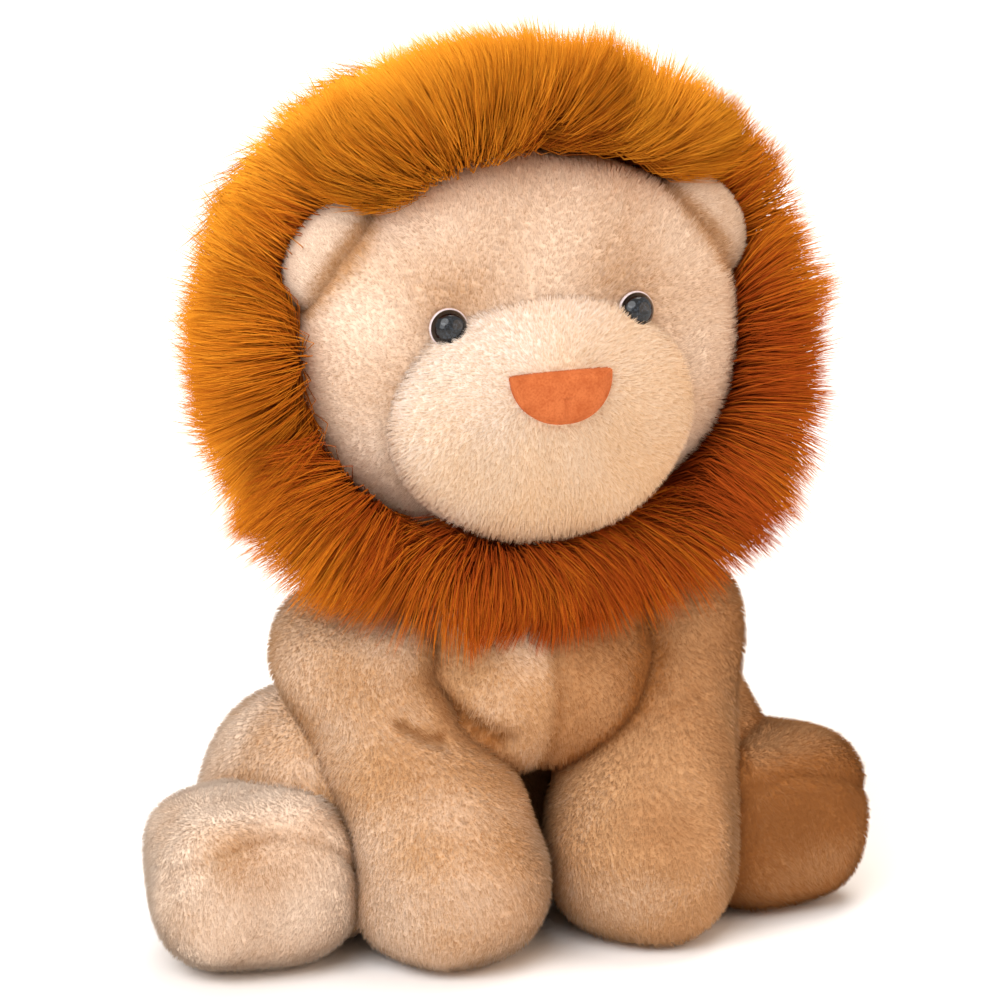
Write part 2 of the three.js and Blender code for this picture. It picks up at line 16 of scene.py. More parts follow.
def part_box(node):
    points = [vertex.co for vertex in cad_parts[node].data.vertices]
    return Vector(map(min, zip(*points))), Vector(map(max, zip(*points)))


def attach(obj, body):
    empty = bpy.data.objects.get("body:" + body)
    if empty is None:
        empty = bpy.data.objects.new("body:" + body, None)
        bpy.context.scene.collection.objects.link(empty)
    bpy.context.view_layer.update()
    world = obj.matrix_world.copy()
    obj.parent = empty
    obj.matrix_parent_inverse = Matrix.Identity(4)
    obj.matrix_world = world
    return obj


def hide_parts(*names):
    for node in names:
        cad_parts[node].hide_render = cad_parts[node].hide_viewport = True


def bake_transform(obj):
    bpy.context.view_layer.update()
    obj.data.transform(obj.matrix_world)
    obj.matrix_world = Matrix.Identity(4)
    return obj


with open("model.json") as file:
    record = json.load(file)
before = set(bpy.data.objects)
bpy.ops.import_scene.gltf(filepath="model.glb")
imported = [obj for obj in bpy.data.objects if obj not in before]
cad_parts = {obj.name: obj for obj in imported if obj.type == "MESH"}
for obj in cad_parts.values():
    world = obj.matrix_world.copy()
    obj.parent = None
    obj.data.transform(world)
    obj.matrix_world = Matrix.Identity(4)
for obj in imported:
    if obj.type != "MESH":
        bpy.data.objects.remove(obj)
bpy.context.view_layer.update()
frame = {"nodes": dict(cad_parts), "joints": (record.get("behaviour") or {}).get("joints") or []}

bl_info = {
    "name": "Plush lion",
    "version": (1, 0, 0),
    "blender": (4, 5, 0),
    "location": "View3D > Sidebar > Plush lion",
    "description": "Dresses a plush lion in short pile, a long mane, a suede nose and glossy eyes",
    "category": "Mesh",
}

MM = 0.001
JOINT_PLACES = {joint["name"]: np.array(joint["pos_m"], float) for joint in frame["joints"]}
HEAD_TURNS = next(joint["range_deg"] for joint in frame["joints"] if joint["name"] == "head_turn")
NECK = JOINT_PLACES["head_turn"]
TAIL_ROOT = JOINT_PLACES["tail_swing"]
SIDES = {"left": 1, "right": -1}
UP = np.array([0.0, 0.0, 1.0])
LEFT = np.array([1.0, 0.0, 0.0])
AHEAD = np.array([0.0, -1.0, 0.0])
PILE_MAP = "OFBake"
SHADE = "shade"
# A skin grows pile down to this depth inside another form
BURIED = 5 * MM
MANE_ROUNDNESS = 2.12
EAR_LEAN_DEGREES = 52
WASHER_SHADES = ("#E6E6E2", "#D5D5D0")

# Rings of the forms, as shares of their sizes: up, side, front and back
TORSO_SHARES = [
    [0, 0.62, 0.06, 0.7],
    [0.08, 0.84, 0.18, 0.87],
    [0.2, 0.95, 0.38, 0.97],
    [0.35, 1, 0.66, 1],
    [0.48, 0.99, 0.92, 0.94],
    [0.62, 0.955, 1, 0.74],
    [0.75, 0.855, 0.896, 0.567],
    [0.88, 0.6, 0.629, 0.398],
    [1, 0, 0, 0],
]
# Along the form, and girth
HEAD_SHARES = [
    [0, 0],
    [0.04, 0.4],
    [0.13, 0.7],
    [0.28, 0.92],
    [0.5, 1],
    [0.72, 0.92],
    [0.87, 0.7],
    [0.96, 0.4],
    [1, 0],
]
MUZZLE_SHARES = [[0, 0], [0.2, 0.72], [0.45, 0.96], [0.64, 1], [0.8, 0.87], [0.93, 0.58], [1, 0]]
THIGH_SHARES = [[0, 0.45], [0.08, 0.76], [0.25, 0.96], [0.48, 1], [0.72, 0.85], [0.9, 0.52], [1, 0]]
FOOT_SHARES = [[0, 0], [0.1, 0.68], [0.3, 0.93], [0.66, 1], [0.86, 0.9], [0.97, 0.62], [1, 0]]
EAR_SHARES = [[0, 0.8], [0.3, 0.96], [0.55, 1], [0.75, 0.88], [0.9, 0.62], [0.98, 0.3], [1, 0]]
TUFT_SHARES = [[0, 0], [0.06, 0.5], [0.25, 0.9], [0.45, 1], [0.68, 0.8], [0.88, 0.42], [1, 0]]
# Up, girth, and way from the paw to the shoulder
FRONT_LEG_SHARES = [
    [0, 0.5, 0],
    [0.05, 0.8, 0],
    [0.14, 0.97, 0],
    [0.28, 1, 0],
    [0.44, 0.95, 0.25],
    [0.6, 0.92, 0.65],
    [0.76, 0.95, 1],
    [0.89, 0.8, 1],
    [1, 0, 1],
]
# The fabric under the mane: outward from the middle, and forward from the back to the front lip
MANE_SHARES = [
    [0, 0.1],
    [0.36, 0.14],
    [0.61, 0.26],
    [0.75, 0.44],
    [0.815, 0.62],
    [0.828, 0.74],
    [0.82, 0.82],
    [0.79, 0.87],
    [0.75, 0.885],
    [0.71, 0.87],
    [0.67, 0.82],
    [0.63, 0.76],
    [0.4, 0.7],
    [0, 0.68],
]
# Sideways, back and down from the tail's root
TAIL_SHARES = [[0, -0.25, -0.1], [0.03, 0.3, 0.35], [0.2, 0.64, 1], [0.55, 0.9, 1], [1, 1, 1]]

# Creases in millimetres, across and up: on the chest, out along a front leg, and out from a foot's middle
CHEST_CREASE = [[-38, 85], [-30.5, 79.7], [-23.5, 74.8], [-16, 71]]
LEG_FOLD = [[51.2, 79.7], [44.4, 76], [37.2, 74]]
SOLE_SEAM = [[32, 33], [29, 39], [22, 44], [12, 47.5], [0, 48.5], [-13, 46], [-23, 40], [-29, 32]]
# An eye's two turned parts in millimetres: radius, and rise over the face
EYE_DOME = [[0, 4.9], [1.6, 4.75], [3.2, 4.1], [4.6, 2.9], [5.6, 1.3], [5.95, 0], [5.9, -0.8], [0, -0.8]]
EYE_FLANGE = [[0, 0.3], [5.5, 0.4], [6.1, 0.3], [6.3, 0.0], [6.3, -0.4], [6.1, -0.9], [0, -1.0]]


def linear(code):
    """An sRGB hex code as linear red, green, blue and 1."""
    shares = [int(code[i : i + 2], 16) / 255 for i in (1, 3, 5)]
    return tuple(s / 12.92 if s <= 0.04045 else ((s + 0.055) / 1.055) ** 2.4 for s in shares) + (1.0,)


def length(name, description, default):
    """A size of the lion, in metres."""
    return bpy.props.FloatProperty(
        name=name, description=description, default=default, min=0, precision=4, unit="LENGTH"
    )


def colour(name, description, code):
    """A colour that the user may change."""
    return bpy.props.FloatVectorProperty(
        name=name, description=description, default=linear(code), size=4, min=0, max=1, subtype="COLOR"
    )


def count(name, description, default):
    """How many of something there are."""
    return bpy.props.IntProperty(name=name, description=description, default=default, min=1)


class LionSizes(bpy.types.PropertyGroup):
    """Sizes of the stuffed forms, measured to the tips of their pile."""

    pile_depth: length("Pile depth", "From the skin of a short-pile form to the tips of its pile", 1.7 * MM)
    ground_gap: length("Ground gap", "From the ground to the skin of a form that stands on it", 0.8 * MM)
    torso_half_width: length("Torso half width", "From its middle to its side", 0.065)
    torso_front: length("Torso front", "From the neck's axis to the chest", 0.062)
    torso_back: length("Torso back", "From the neck's axis to the back", 0.098)
    head_height: length("Head height", "From chin to crown", 0.126)
    head_bottom: length("Head bottom", "Height of the chin over the ground", 0.128)
    head_y: length("Head place", "How far the head's widest section lies ahead of the origin", 0.055)
    head_half_width: length("Head half width", "From its middle to its side", 0.075)
    head_front: length("Head front", "From the widest section to the face", 0.024)
    head_back: length("Head back", "From the widest section to the back of the head", 0.069)
    muzzle_half_width: length("Muzzle half width", "From its middle to its side", 0.051)
    muzzle_half_height: length("Muzzle half height", "From its middle to its top", 0.040)
    muzzle_depth: length("Muzzle depth", "From its back, inside the head, to its front", 0.046)
    muzzle_front: length("Muzzle front", "How far its front lies ahead of the origin", 0.095)
    muzzle_z: length("Muzzle height", "Height of its middle over the ground", 0.172)
    nose_thickness: length("Nose thickness", "How far the patch stands off the muzzle", 3 * MM)
    ear_half_width: length("Ear half width", "Half its width along the head", 0.020)
    ear_length: length("Ear length", "From its root inside the head to its rim", 0.030)
    ear_half_thickness: length("Ear half thickness", "Half its thickness", 0.0085)
    ear_x: length("Ear place", "From the head's middle to the ear's root", 0.050)
    ear_y: length("Ear depth", "How far its root lies ahead of the origin", 0.0555)
    ear_z: length("Ear height", "Height of its root over the ground", 0.2155)
    mane_half_width: length("Mane half width", "From its middle to the tips at its side", 0.107)
    mane_half_height: length("Mane half height", "From its middle to the tips at its top", 0.097)
    mane_z: length("Mane height", "Height of its middle over the ground", 0.1935)
    mane_back: length("Mane back", "How far its back lies behind the origin", 0.044)
    mane_front: length("Mane front", "How far its front lip lies ahead of the origin", 0.073)
    mane_push: length("Mane push", "How far the chest pushes its lowest part forward", 0.036)
    face_half_width: length("Face half width", "Half the width of the mane's opening for the face", 0.0705)
    face_half_height: length("Face half height", "Half the height of that opening", 0.0605)
    face_z: length("Face height", "Height of the opening's middle over the ground", 0.1895)
    chin_half_width: length("Chin half width", "Half the width of the locks under the chin", 0.034)
    chin_z: length("Chin height", "Height below which they may grow into the opening", 0.148)
    paw_half_width: length("Paw half width", "Half the width of a front paw", 0.0328)
    paw_half_depth: length("Paw half depth", "Half the depth of a front paw", 0.0335)
    paw_x: length("Paw place", "From the middle to the middle of a paw", 0.0332)
    paw_y: length("Paw reach", "How far the middle of a paw lies ahead of the origin", 0.080)
    shoulder_rise: length("Shoulder rise", "From the shoulder's axis to its top", 0.037)
    thigh_height: length("Thigh height", "Height of the thigh over the ground", 0.084)
    thigh_half_width: length("Thigh half width", "Half its width", 0.036)
    thigh_half_depth: length("Thigh half depth", "Half its depth", 0.045)
    thigh_x: length("Thigh place", "From the middle to the middle of a thigh", 0.062)
    thigh_y: length("Thigh reach", "How far its middle lies ahead of the origin", 0.033)
    foot_length: length("Foot length", "From its back, inside the thigh, to its sole", 0.068)
    foot_half_width: length("Foot half width", "Half its width", 0.033)
    foot_half_height: length("Foot half height", "Half its height", 0.029)
    foot_x: length("Foot place", "From the middle to the middle of a foot", 0.088)
    feet_shift: length("Feet shift", "How far both hind feet lie to the lion's right", 0.005)
    foot_front: length("Foot front", "How far the sole lies ahead of the origin", 0.092)
    tail_radius: length("Tail radius", "Half the thickness of the tail", 0.009)
    tail_reach_back: length("Tail reach back", "From its root to its end, backwards", 0.060)
    tail_reach_side: length("Tail reach side", "From its root to its end, sideways", 0.058)
    tuft_length: length("Tuft length", "Length of the fabric under the tail's tuft", 0.044)
    tuft_radius: length("Tuft radius", "From its middle to the tips of its pile", 0.015)


class LionPile(bpy.types.PropertyGroup):
    """Lengths, widths and numbers of the fibres."""

    nap_length: length("Nap length", "Length of the short pile", 3.2 * MM)
    nap_width: length("Nap width", "Thickness of a fibre of the short pile, coarse enough to show", 0.25 * MM)
    mane_length: length("Mane length", "Length of the mane's pile", 34.5 * MM)
    mane_width: length("Mane width", "Thickness of a lock of the mane's pile", 0.38 * MM)
    torso_count: count("Torso fibres", "On the torso", 32000)
    head_count: count("Head fibres", "On the face", 38000)
    muzzle_count: count("Muzzle fibres", "On the muzzle", 31000)
    ear_count: count("Ear fibres", "On each ear", 7000)
    front_leg_count: count("Front leg fibres", "On each front leg", 34000)
    thigh_count: count("Thigh fibres", "On each thigh", 15000)
    foot_count: count("Foot fibres", "On each hind foot", 25000)
    tail_count: count("Tail fibres", "On the tail", 6000)
    mane_count: count("Mane locks", "In each half of the mane's front: fewer, thicker ones behind", 19500)
    tuft_count: count("Tuft locks", "On the tail's tuft", 1600)


class LionColours(bpy.types.PropertyGroup):
    """Colours of the fabrics and of the eyes."""

    nap_light: colour("Nap, light", "Tips of the lightest short pile", "#F8E2CD")
    nap_dark: colour("Nap, dark", "Tips of the darkest short pile", "#9B6538")
    nap_root: colour("Nap, root", "Short pile next to the fabric", "#986136")
    pale_light: colour("Pale nap, light", "Tips of the lightest pile on the muzzle", "#F7F0EC")
    pale_dark: colour("Pale nap, dark", "Tips of the darkest pile on the muzzle", "#EBC7A0")
    pale_root: colour("Pale nap, root", "Pale pile next to the fabric", "#D0A274")
    mane_light: colour("Mane, light", "Tips of the lightest locks", "#FFB133")
    mane_middle: colour("Mane, middle", "Tips of the locks between them", "#E18922")
    mane_dark: colour("Mane, dark", "Tips of the darkest locks", "#AE4A1A")
    mane_root_light: colour("Mane, light root", "Roots of the lightest locks", "#DC8430")
    mane_root_dark: colour("Mane, dark root", "Roots of the darkest locks", "#521605")
    suede: colour("Suede", "The nose", "#BF6A3B")
    suede_dark: colour("Suede, dark", "Worn and shaded places of the nose", "#A85428")
    eye_black: colour("Eye", "The dome's rim", "#0B0B0E")
    # The dome's mottled slate middle is a painted reflection of the surroundings.
    eye_painted_reflection: colour("Eye, slate", "The mottled middle of the dome", "#2F3741")
    eye_rim: colour("Eye rim", "The pale plastic flange round the dome", "#D6C9CC")
    floor: colour("Floor", "The studio floor", "#F7F8FA")


def settings():
    """The three groups of properties."""
    scene = bpy.context.scene
    return scene.lion_sizes, scene.lion_pile, scene.lion_colours


def unit(vectors):
    """Each vector divided by its own length."""
    lengths = np.linalg.norm(vectors, axis=-1, keepdims=True)
    return vectors / np.maximum(lengths, 1e-12)


def smooth_rows(rows, scale, steps, poles=(False, False)):
    """Rows taken at even steps along the smooth curve through them.

    The curve is a cubic through the rows, timed by the square root of the distance between them. The slope at
    a row comes from its neighbours. scale holds the real sizes that give those distances. At a pole, where
    the form closes on its axis, the next row is mirrored, so the curve crosses the axis squarely.
    """
    rows = np.array(rows, float)
    mirror = np.full(rows.shape[1], -1.0)
    mirror[0] = 1.0
    before = rows[1] * mirror if poles[0] else 2 * rows[0] - rows[1]
    after = rows[-2] * mirror if poles[1] else 2 * rows[-1] - rows[-2]
    points = np.vstack([before, rows, after])
    gaps = np.sqrt(np.linalg.norm(np.diff(points * scale, axis=0), axis=1))
    slopes = np.diff(points, axis=0) / gaps[:, None]
    wide = (points[2:] - points[:-2]) / (gaps[:-1] + gaps[1:])[:, None]
    tangents = slopes[:-1] - wide + slopes[1:]
    times = np.concatenate([[0], np.cumsum(gaps[1:-1])])

    def curve(time):
        span = np.clip(np.searchsorted(times, time, side="right") - 1, 0, len(times) - 2)
        gap = np.diff(times)[span][:, None]
        t = (time - times[span])[:, None] / gap
        first, last = rows[span], rows[span + 1]
        rise, fall = tangents[span] * gap, tangents[span + 1] * gap
        return (
            (2 * t**3 - 3 * t**2 + 1) * first
            + (t**3 - 2 * t**2 + t) * rise
            + (3 * t**2 - 2 * t**3) * last
            + (t**3 - t**2) * fall
        )

    dense = np.linspace(0, times[-1], 60 * len(rows))
    run = np.concatenate([[0], np.cumsum(np.linalg.norm(np.diff(curve(dense) * scale, axis=0), axis=1))])
    return curve(np.interp(np.linspace(0, run[-1], steps), run, dense))


def ripple(points, wavelength, seed, waves=7):
    """A smooth random value from about -1 to 1: the mean of a few sine waves that cross each other."""
    rng = np.random.default_rng(seed)
    heading = unit(rng.normal(size=(waves, 3)))
    stretch = rng.uniform(0.7, 1.5, waves)
    shift = rng.uniform(0, 2 * math.pi, waves)
    phase = points @ (heading * stretch[:, None]).T * (2 * math.pi / wavelength) + shift
    return np.sin(phase).sum(1) / math.sqrt(waves)


def placed(x, y, z):
    """Points from their x, y and z, each of which may be one number for all of them."""
    return np.stack(np.broadcast_arrays(x, y, z), -1)


def turns(around):
    """Angles at even steps round a circle."""
    return np.arange(around) * 2 * math.pi / around


def vertex_rows(mesh, key="co"):
    """The places or the normals of a mesh's vertices."""
    rows = np.empty(len(mesh.vertices) * 3, np.float32)
    mesh.vertices.foreach_get(key, rows)
    return rows.reshape(-1, 3).astype(float)


def dent(points, centre, radius, depth):
    """How far points are pressed in round a centre: a bell curve of the distance to it."""
    apart = np.linalg.norm(points - np.asarray(centre), axis=1)
    return -depth * np.exp(-((apart / radius) ** 2))


def groove(points, line, width, depth):
    """How far points are pressed in along a line of corners: a bell curve of the distance to it."""
    line = np.array(line, float)
    nearest = np.full(len(points), np.inf)
    for start, end in zip(line[:-1], line[1:]):
        run = end - start
        along = np.clip((points - start) @ run / (run @ run), 0, 1)
        nearest = np.minimum(nearest, np.linalg.norm(points - start - along[:, None] * run, axis=1))
    return -depth * np.exp(-((nearest / width) ** 2))


def closeness(points, form, reach=4 * MM):
    """From 0 to 1, how near points lie to a form that they meet at a seam. The tones use it to paint shade
    into those creases.
    """
    return sum(form.holds(points, -reach * part).astype(float) for part in (0.25, 0.5, 0.75, 1)) / 4


class StuffedForm:
    """A closed form through oval rings, stacked upwards or, for a muzzle or a foot, forwards."""

    def __init__(self, centres, side, front, back, squareness=2.0, forwards=False):
        self.centres = np.array(centres, float)
        self.side, self.front, self.back = (np.maximum(np.array(v, float), 0) for v in (side, front, back))
        self.squareness = squareness
        self.axis, self.deep = (1, UP) if forwards else (2, AHEAD)

    def grid(self, around):
        """Rings of points.

        At angle a, a point lies side * s(a) sideways and front * c(a), or back * c(a), across that. s and c
        are the sine and cosine with their sizes raised to 2 / squareness.
        """
        angle = (np.arange(around) + 0.5) * 2 * math.pi / around
        power = 2 / self.squareness
        sine = np.sign(np.sin(angle)) * np.abs(np.sin(angle)) ** power
        cosine = np.sign(np.cos(angle)) * np.abs(np.cos(angle)) ** power
        reach = np.where(cosine > 0, self.front[:, None], self.back[:, None])
        across = self.side[:, None] * sine
        return self.centres[:, None] + across[..., None] * LEFT + (reach * cosine)[..., None] * self.deep

    def holds(self, points, margin=0.0):
        """Which points lie inside the form by more than a margin."""
        order = np.argsort(self.centres[:, self.axis])
        level = self.centres[order, self.axis]
        at = points[:, self.axis]

        def between(values):
            return np.interp(at, level, values[order])

        side = np.maximum(between(self.side) - margin, 1e-6)
        front = np.maximum(between(self.front) - margin, 1e-6)
        back = np.maximum(between(self.back) - margin, 1e-6)
        across = points[:, 0] - between(self.centres[:, 0])
        other = 1 if self.axis == 2 else 2
        deep = (points[:, other] - between(self.centres[:, other])) * self.deep[other]
        deep = deep / np.where(deep > 0, front, back)
        out = np.abs(across / side) ** self.squareness + np.abs(deep) ** self.squareness
        return (out < 1) & (at > level[0] + margin) & (at < level[-1] - margin)


def closed_ends(rows, steps=4):
    """Rows with their ends drawn in to the axis, so that a form that is cut flat there is closed."""
    shrink = 1 - np.linspace(0, 1, steps, endpoint=False) ** 2

    def drawn(row):
        many = np.repeat(row[None], steps, axis=0)
        many[:, 1:4] *= (1 - shrink)[:, None]
        return many

    first = drawn(rows[0]) if rows[0, 1] > 0.01 else rows[:0]
    last = drawn(rows[-1])[::-1] if rows[-1, 1] > 0.01 else rows[:0]
    return np.vstack([first, rows, last])


def grid_normals(grid):
    """Outward directions of a grid of closed rings: the cross product of its two runs."""
    around = np.roll(grid, -1, axis=1) - np.roll(grid, 1, axis=1)
    along = np.gradient(grid, axis=0)
    normals = unit(np.cross(around, along))
    normals[0] = unit(normals[1].mean(0))
    normals[-1] = unit(normals[-2].mean(0))
    outward = ((grid - grid.mean((0, 1))) * normals).sum()
    return normals if outward > 0 else -normals


def pushed(grid, *amounts):
    """A grid moved along its own normals by functions of its points."""
    normals = grid_normals(grid)
    flat = grid.reshape(-1, 3)
    total = sum(np.asarray(amount(flat)) for amount in amounts)
    moved = flat + total[:, None] * normals.reshape(-1, 3)
    moved = moved.reshape(grid.shape)
    moved[0] = moved[0].mean(0)
    moved[-1] = moved[-1].mean(0)
    return moved


def mesh_object(name, points, faces, material, smooth=True):
    """A mesh from points and arrays of faces, one array for each number of corners."""
    mesh = bpy.data.meshes.new(name)
    corners = np.concatenate([face.ravel() for face in faces]).astype(np.int32)
    totals = np.concatenate([np.full(len(face), face.shape[1]) for face in faces])
    mesh.vertices.add(len(points))
    mesh.vertices.foreach_set("co", np.ascontiguousarray(points, np.float32).ravel())
    mesh.loops.add(len(corners))
    mesh.loops.foreach_set("vertex_index", corners)
    mesh.polygons.add(len(totals))
    mesh.polygons.foreach_set("loop_start", (np.cumsum(totals) - totals).astype(np.int32))
    mesh.update(calc_edges=True)
    mesh.validate()
    if smooth:
        mesh.shade_smooth()
    mesh.materials.append(material)
    piece = bpy.data.objects.new(name, mesh)
    bpy.context.scene.collection.objects.link(piece)
    return piece


def skin(name, grid, material):
    """A closed mesh from a grid of rings whose first and last are single points."""
    rings, around = grid.shape[:2]
    points = np.vstack([grid[0, :1], grid[1:-1].reshape(-1, 3), grid[-1, :1]])
    column = np.arange(around)
    beside = (column + 1) % around
    first = 1 + np.arange(rings - 3)[:, None] * around
    quads = np.stack([first + column, first + beside, first + around + beside, first + around + column], -1)
    quads = quads.reshape(-1, 4)
    last_ring = 1 + (rings - 3) * around
    end = len(points) - 1
    fans = np.vstack(
        [
            np.stack([np.zeros(around, int), 1 + beside, 1 + column], -1),
            np.stack([np.full(around, end), last_ring + column, last_ring + beside], -1),
        ]
    )
    normal = np.cross(points[quads[:, 1]] - points[quads[:, 0]], points[quads[:, 3]] - points[quads[:, 0]])
    if ((points[quads[:, 0]] - points.mean(0)) * normal).sum() < 0:
        quads, fans = quads[:, ::-1], fans[:, ::-1]
    return mesh_object(name, points, [quads, fans], material)


def scatter(base, number, rng, weight=None):
    """Random places on a mesh and its smooth normals there, spread by its triangles' area times a weight."""
    mesh = base.data
    mesh.calc_loop_triangles()
    places, normals = vertex_rows(mesh), vertex_rows(mesh, "normal")
    corners = np.empty(len(mesh.loop_triangles) * 3, np.int32)
    mesh.loop_triangles.foreach_get("vertices", corners)
    corners = corners.reshape(-1, 3)
    a, b, c = (places[corners[:, k]] for k in range(3))
    area = np.linalg.norm(np.cross(b - a, c - a), axis=1)
    if weight is not None:
        area = area * weight((a + b + c) / 3)
    edges = np.cumsum(area) / area.sum()
    picked = np.searchsorted(edges, (np.arange(number) + rng.random(number)) / number)
    picked = np.minimum(picked, len(edges) - 1)
    u, v = rng.random((2, number))
    over = u + v > 1
    u[over], v[over] = 1 - u[over], 1 - v[over]
    mix = np.stack([1 - u - v, u, v], -1)[..., None]
    chosen = corners[picked]
    return (places[chosen] * mix).sum(1), unit((normals[chosen] * mix).sum(1))


def nearest_normals(base, points):
    """The normals of the vertices of a mesh that lie nearest to points."""
    tree = KDTree(len(base.data.vertices))
    for index, vertex in enumerate(base.data.vertices):
        tree.insert(vertex.co, index)
    tree.balance()
    return vertex_rows(base.data, "normal")[[tree.find(point)[1] for point in points]]


def keep_shade(base, tone):
    """Keeps each vertex's tone on a skin, for the plush between its fibres."""
    shade = np.clip(tone(vertex_rows(base.data)), 0, 1)
    layer = base.data.attributes.new(SHADE, "FLOAT", "POINT")
    layer.data.foreach_set("value", shade.astype(np.float32))


def clumped(roots, size, seed):
    """The number of the clump that each fibre belongs to: cells of a wobbly grid."""
    wobble = np.stack([ripple(roots, 4 * size, seed + k) for k in range(3)], -1) * size * 0.45
    cells = np.floor((roots + wobble) / size).astype(np.int64)
    keys = (cells[:, 0] * 73856093) ^ (cells[:, 1] * 19349663) ^ (cells[:, 2] * 83492791)
    return np.unique(keys, return_inverse=True)[1].ravel()


def clump_means(values, clump):
    """The mean of each fibre's clump."""
    sizes = np.bincount(clump)
    means = np.stack([np.bincount(clump, values[:, k]) for k in range(3)], -1) / sizes[:, None]
    return means[clump]


def grow_pile(name, base, number, comb, material, size, tone, steps=1, lift=(44, 44), clump=2.0 * MM,
              pull=0.24, swirl=26, weight=None, droop=0.0, lengths=None, drop=None, floor=None, stance=None,
              unrest=5, mix=0.2, seed=1):
    """Fibres on a skin, as one mesh of closed three-sided spikes of a size: length and width.

    comb, tone, weight and lengths are functions of places on the skin: the way that the pile lies, its dye
    from 0 to 1, how thick it grows and a share of its length. stance corrects the skin's normals, and drop
    says which fibres are left out.

    A fibre starts under the skin and leaves it at the first lift, in degrees, towards the comb's direction
    along the skin. Step by step it follows the skin's bend, comes to lie at the second lift, give or take the
    unrest, sinks by the droop and leans towards its clump's mean. One that would kink is left out. A fibre's
    tone is its place across the pile map, and its length runs up that map.
    """
    rng = np.random.default_rng(seed)
    roots, normals = scatter(base, number, rng, weight)
    normals = normals if stance is None else stance(roots, normals)
    patch = 0.03
    turn = np.radians(swirl * ripple(roots, patch, seed + 11) + rng.normal(0, swirl / 3, number))[:, None]

    def combed(points, upright):
        lay = comb(points)
        lay = unit(lay - (lay * upright).sum(1, keepdims=True) * upright)
        return lay * np.cos(turn) + np.cross(upright, lay) * np.sin(turn)

    fibre_length = size[0] * rng.uniform(0.82, 1.08, number)
    if lengths is not None:
        fibre_length = fibre_length * lengths(roots)
    group = clumped(roots, clump, seed + 23)
    group_random = rng.random(group.max() + 1)[group]
    fibre_length = fibre_length * (0.88 + 0.24 * group_random)
    shaky = rng.normal(0, unrest, number)
    spine = [roots - normals * size[1]]
    upright = normals
    for step in range(steps):
        part = (step + 0.5) / steps
        angle = np.radians(lift[0] + (lift[1] - lift[0]) * part + shaky)[:, None]
        if step:
            below = nearest_normals(base, spine[-1])
            upright = unit(upright + (below if stance is None else stance(spine[-1], below)))
        heading = upright * np.sin(angle) + combed(spine[-1], upright) * np.cos(angle) - UP * droop * part
        spine.append(spine[-1] + unit(heading) * (fibre_length / steps)[:, None])
    for k in range(1, steps + 1):
        spine[k] = spine[k] + (clump_means(spine[k], group) - spine[k]) * pull * k / steps
    spine = np.stack(spine)
    runs = unit(np.diff(spine, axis=0))
    kept = ((runs[1:] * runs[:-1]).sum(-1) > 0.4).all(0)
    if drop is not None:
        kept &= ~drop(spine)
    spine, normals, roots = spine[:, kept], normals[kept], roots[kept]
    group_random, number = group_random[kept], int(kept.sum())
    if floor is not None:
        spine[..., 2] = np.maximum(spine[..., 2], floor + size[1])
    if SHADE not in base.data.attributes:
        keep_shade(base, tone)
    shade = tone(roots) + 0.14 * (group_random - 0.5) + mix * (rng.random(number) - 0.5)
    return fibre_mesh(name, spine, normals, np.clip(shade, 0.02, 0.98), size[1], material)


def fibre_mesh(name, spine, normals, tone, width, material):
    """Closed three-sided spikes along spines of points, given as steps by fibres.

    A ring of three points stands round every spine point but the last, which is the tip. The shading normals
    are mostly the skin's own, so the pile takes light as a soft surface.
    """
    steps, number = len(spine) - 1, spine.shape[1]
    heading = unit(spine[-1] - spine[0])
    first = unit(np.cross(heading, normals) + 1e-9)
    second = np.cross(heading, first)
    taper = 1 - 0.35 * (np.arange(steps) / steps) ** 1.5
    angle = np.array([0.25, 0.25 + 1 / 3, 0.25 + 2 / 3]) * 2 * math.pi
    outward = np.cos(angle)[:, None, None] * first + np.sin(angle)[:, None, None] * second
    rings = spine[:-1, None] + outward[None] * (width / 2 * taper)[:, None, None, None]
    per_fibre = 3 * steps + 1
    points = np.empty((number, per_fibre, 3))
    points[:, :-1] = rings.reshape(3 * steps, number, 3).transpose(1, 0, 2)
    points[:, -1] = spine[-1]
    corner_normals = np.empty_like(points)
    side = np.tile(outward, (steps, 1, 1)).transpose(1, 0, 2)
    corner_normals[:, :-1] = unit(normals[:, None] + 0.6 * side)
    corner_normals[:, -1] = normals

    start = (np.arange(number) * per_fibre)[:, None, None]
    j = np.arange(3)
    level = 3 * np.arange(steps - 1)[:, None]
    beside = (j + 1) % 3
    quads = np.stack([level + j, level + beside, level + 3 + beside, level + 3 + j], -1).reshape(-1, 4)
    top = 3 * (steps - 1)
    triangles = np.vstack([np.stack([top + j, top + beside, np.full(3, per_fibre - 1)], -1), [[0, 2, 1]]])
    faces = [(start + triangles).reshape(-1, 3)]
    if steps > 1:
        faces.insert(0, (start + quads).reshape(-1, 4))
    piece = mesh_object(name, points.reshape(-1, 3), faces, material)

    spread = 0.005
    low = np.repeat(np.arange(steps - 1) / steps, 3)[:, None]
    quad_u = np.tile([-spread, spread, spread, -spread], (3 * (steps - 1), 1))
    quad_v = np.hstack([low, low, low + 1 / steps, low + 1 / steps])
    tip_u = np.array([[-spread, spread, 0]] * 3 + [[-spread, 0, spread]])
    tip_v = np.array([[1 - 1 / steps, 1 - 1 / steps, 1]] * 3 + [[0, 0.02, 0]])
    maps = []
    for across, along in ([(quad_u, quad_v)] if steps > 1 else []) + [(tip_u, tip_v)]:
        u = (0.01 + 0.98 * tone)[:, None, None] + across
        v = np.broadcast_to(0.02 + 0.96 * along, u.shape)
        maps.append(np.stack([u, v], -1).reshape(-1, 2))
    layer = piece.data.uv_layers.new(name=PILE_MAP)
    layer.data.foreach_set("uv", np.concatenate(maps).astype(np.float32).ravel())
    piece.data.normals_split_custom_set_from_vertices(corner_normals.reshape(-1, 3))
    return piece


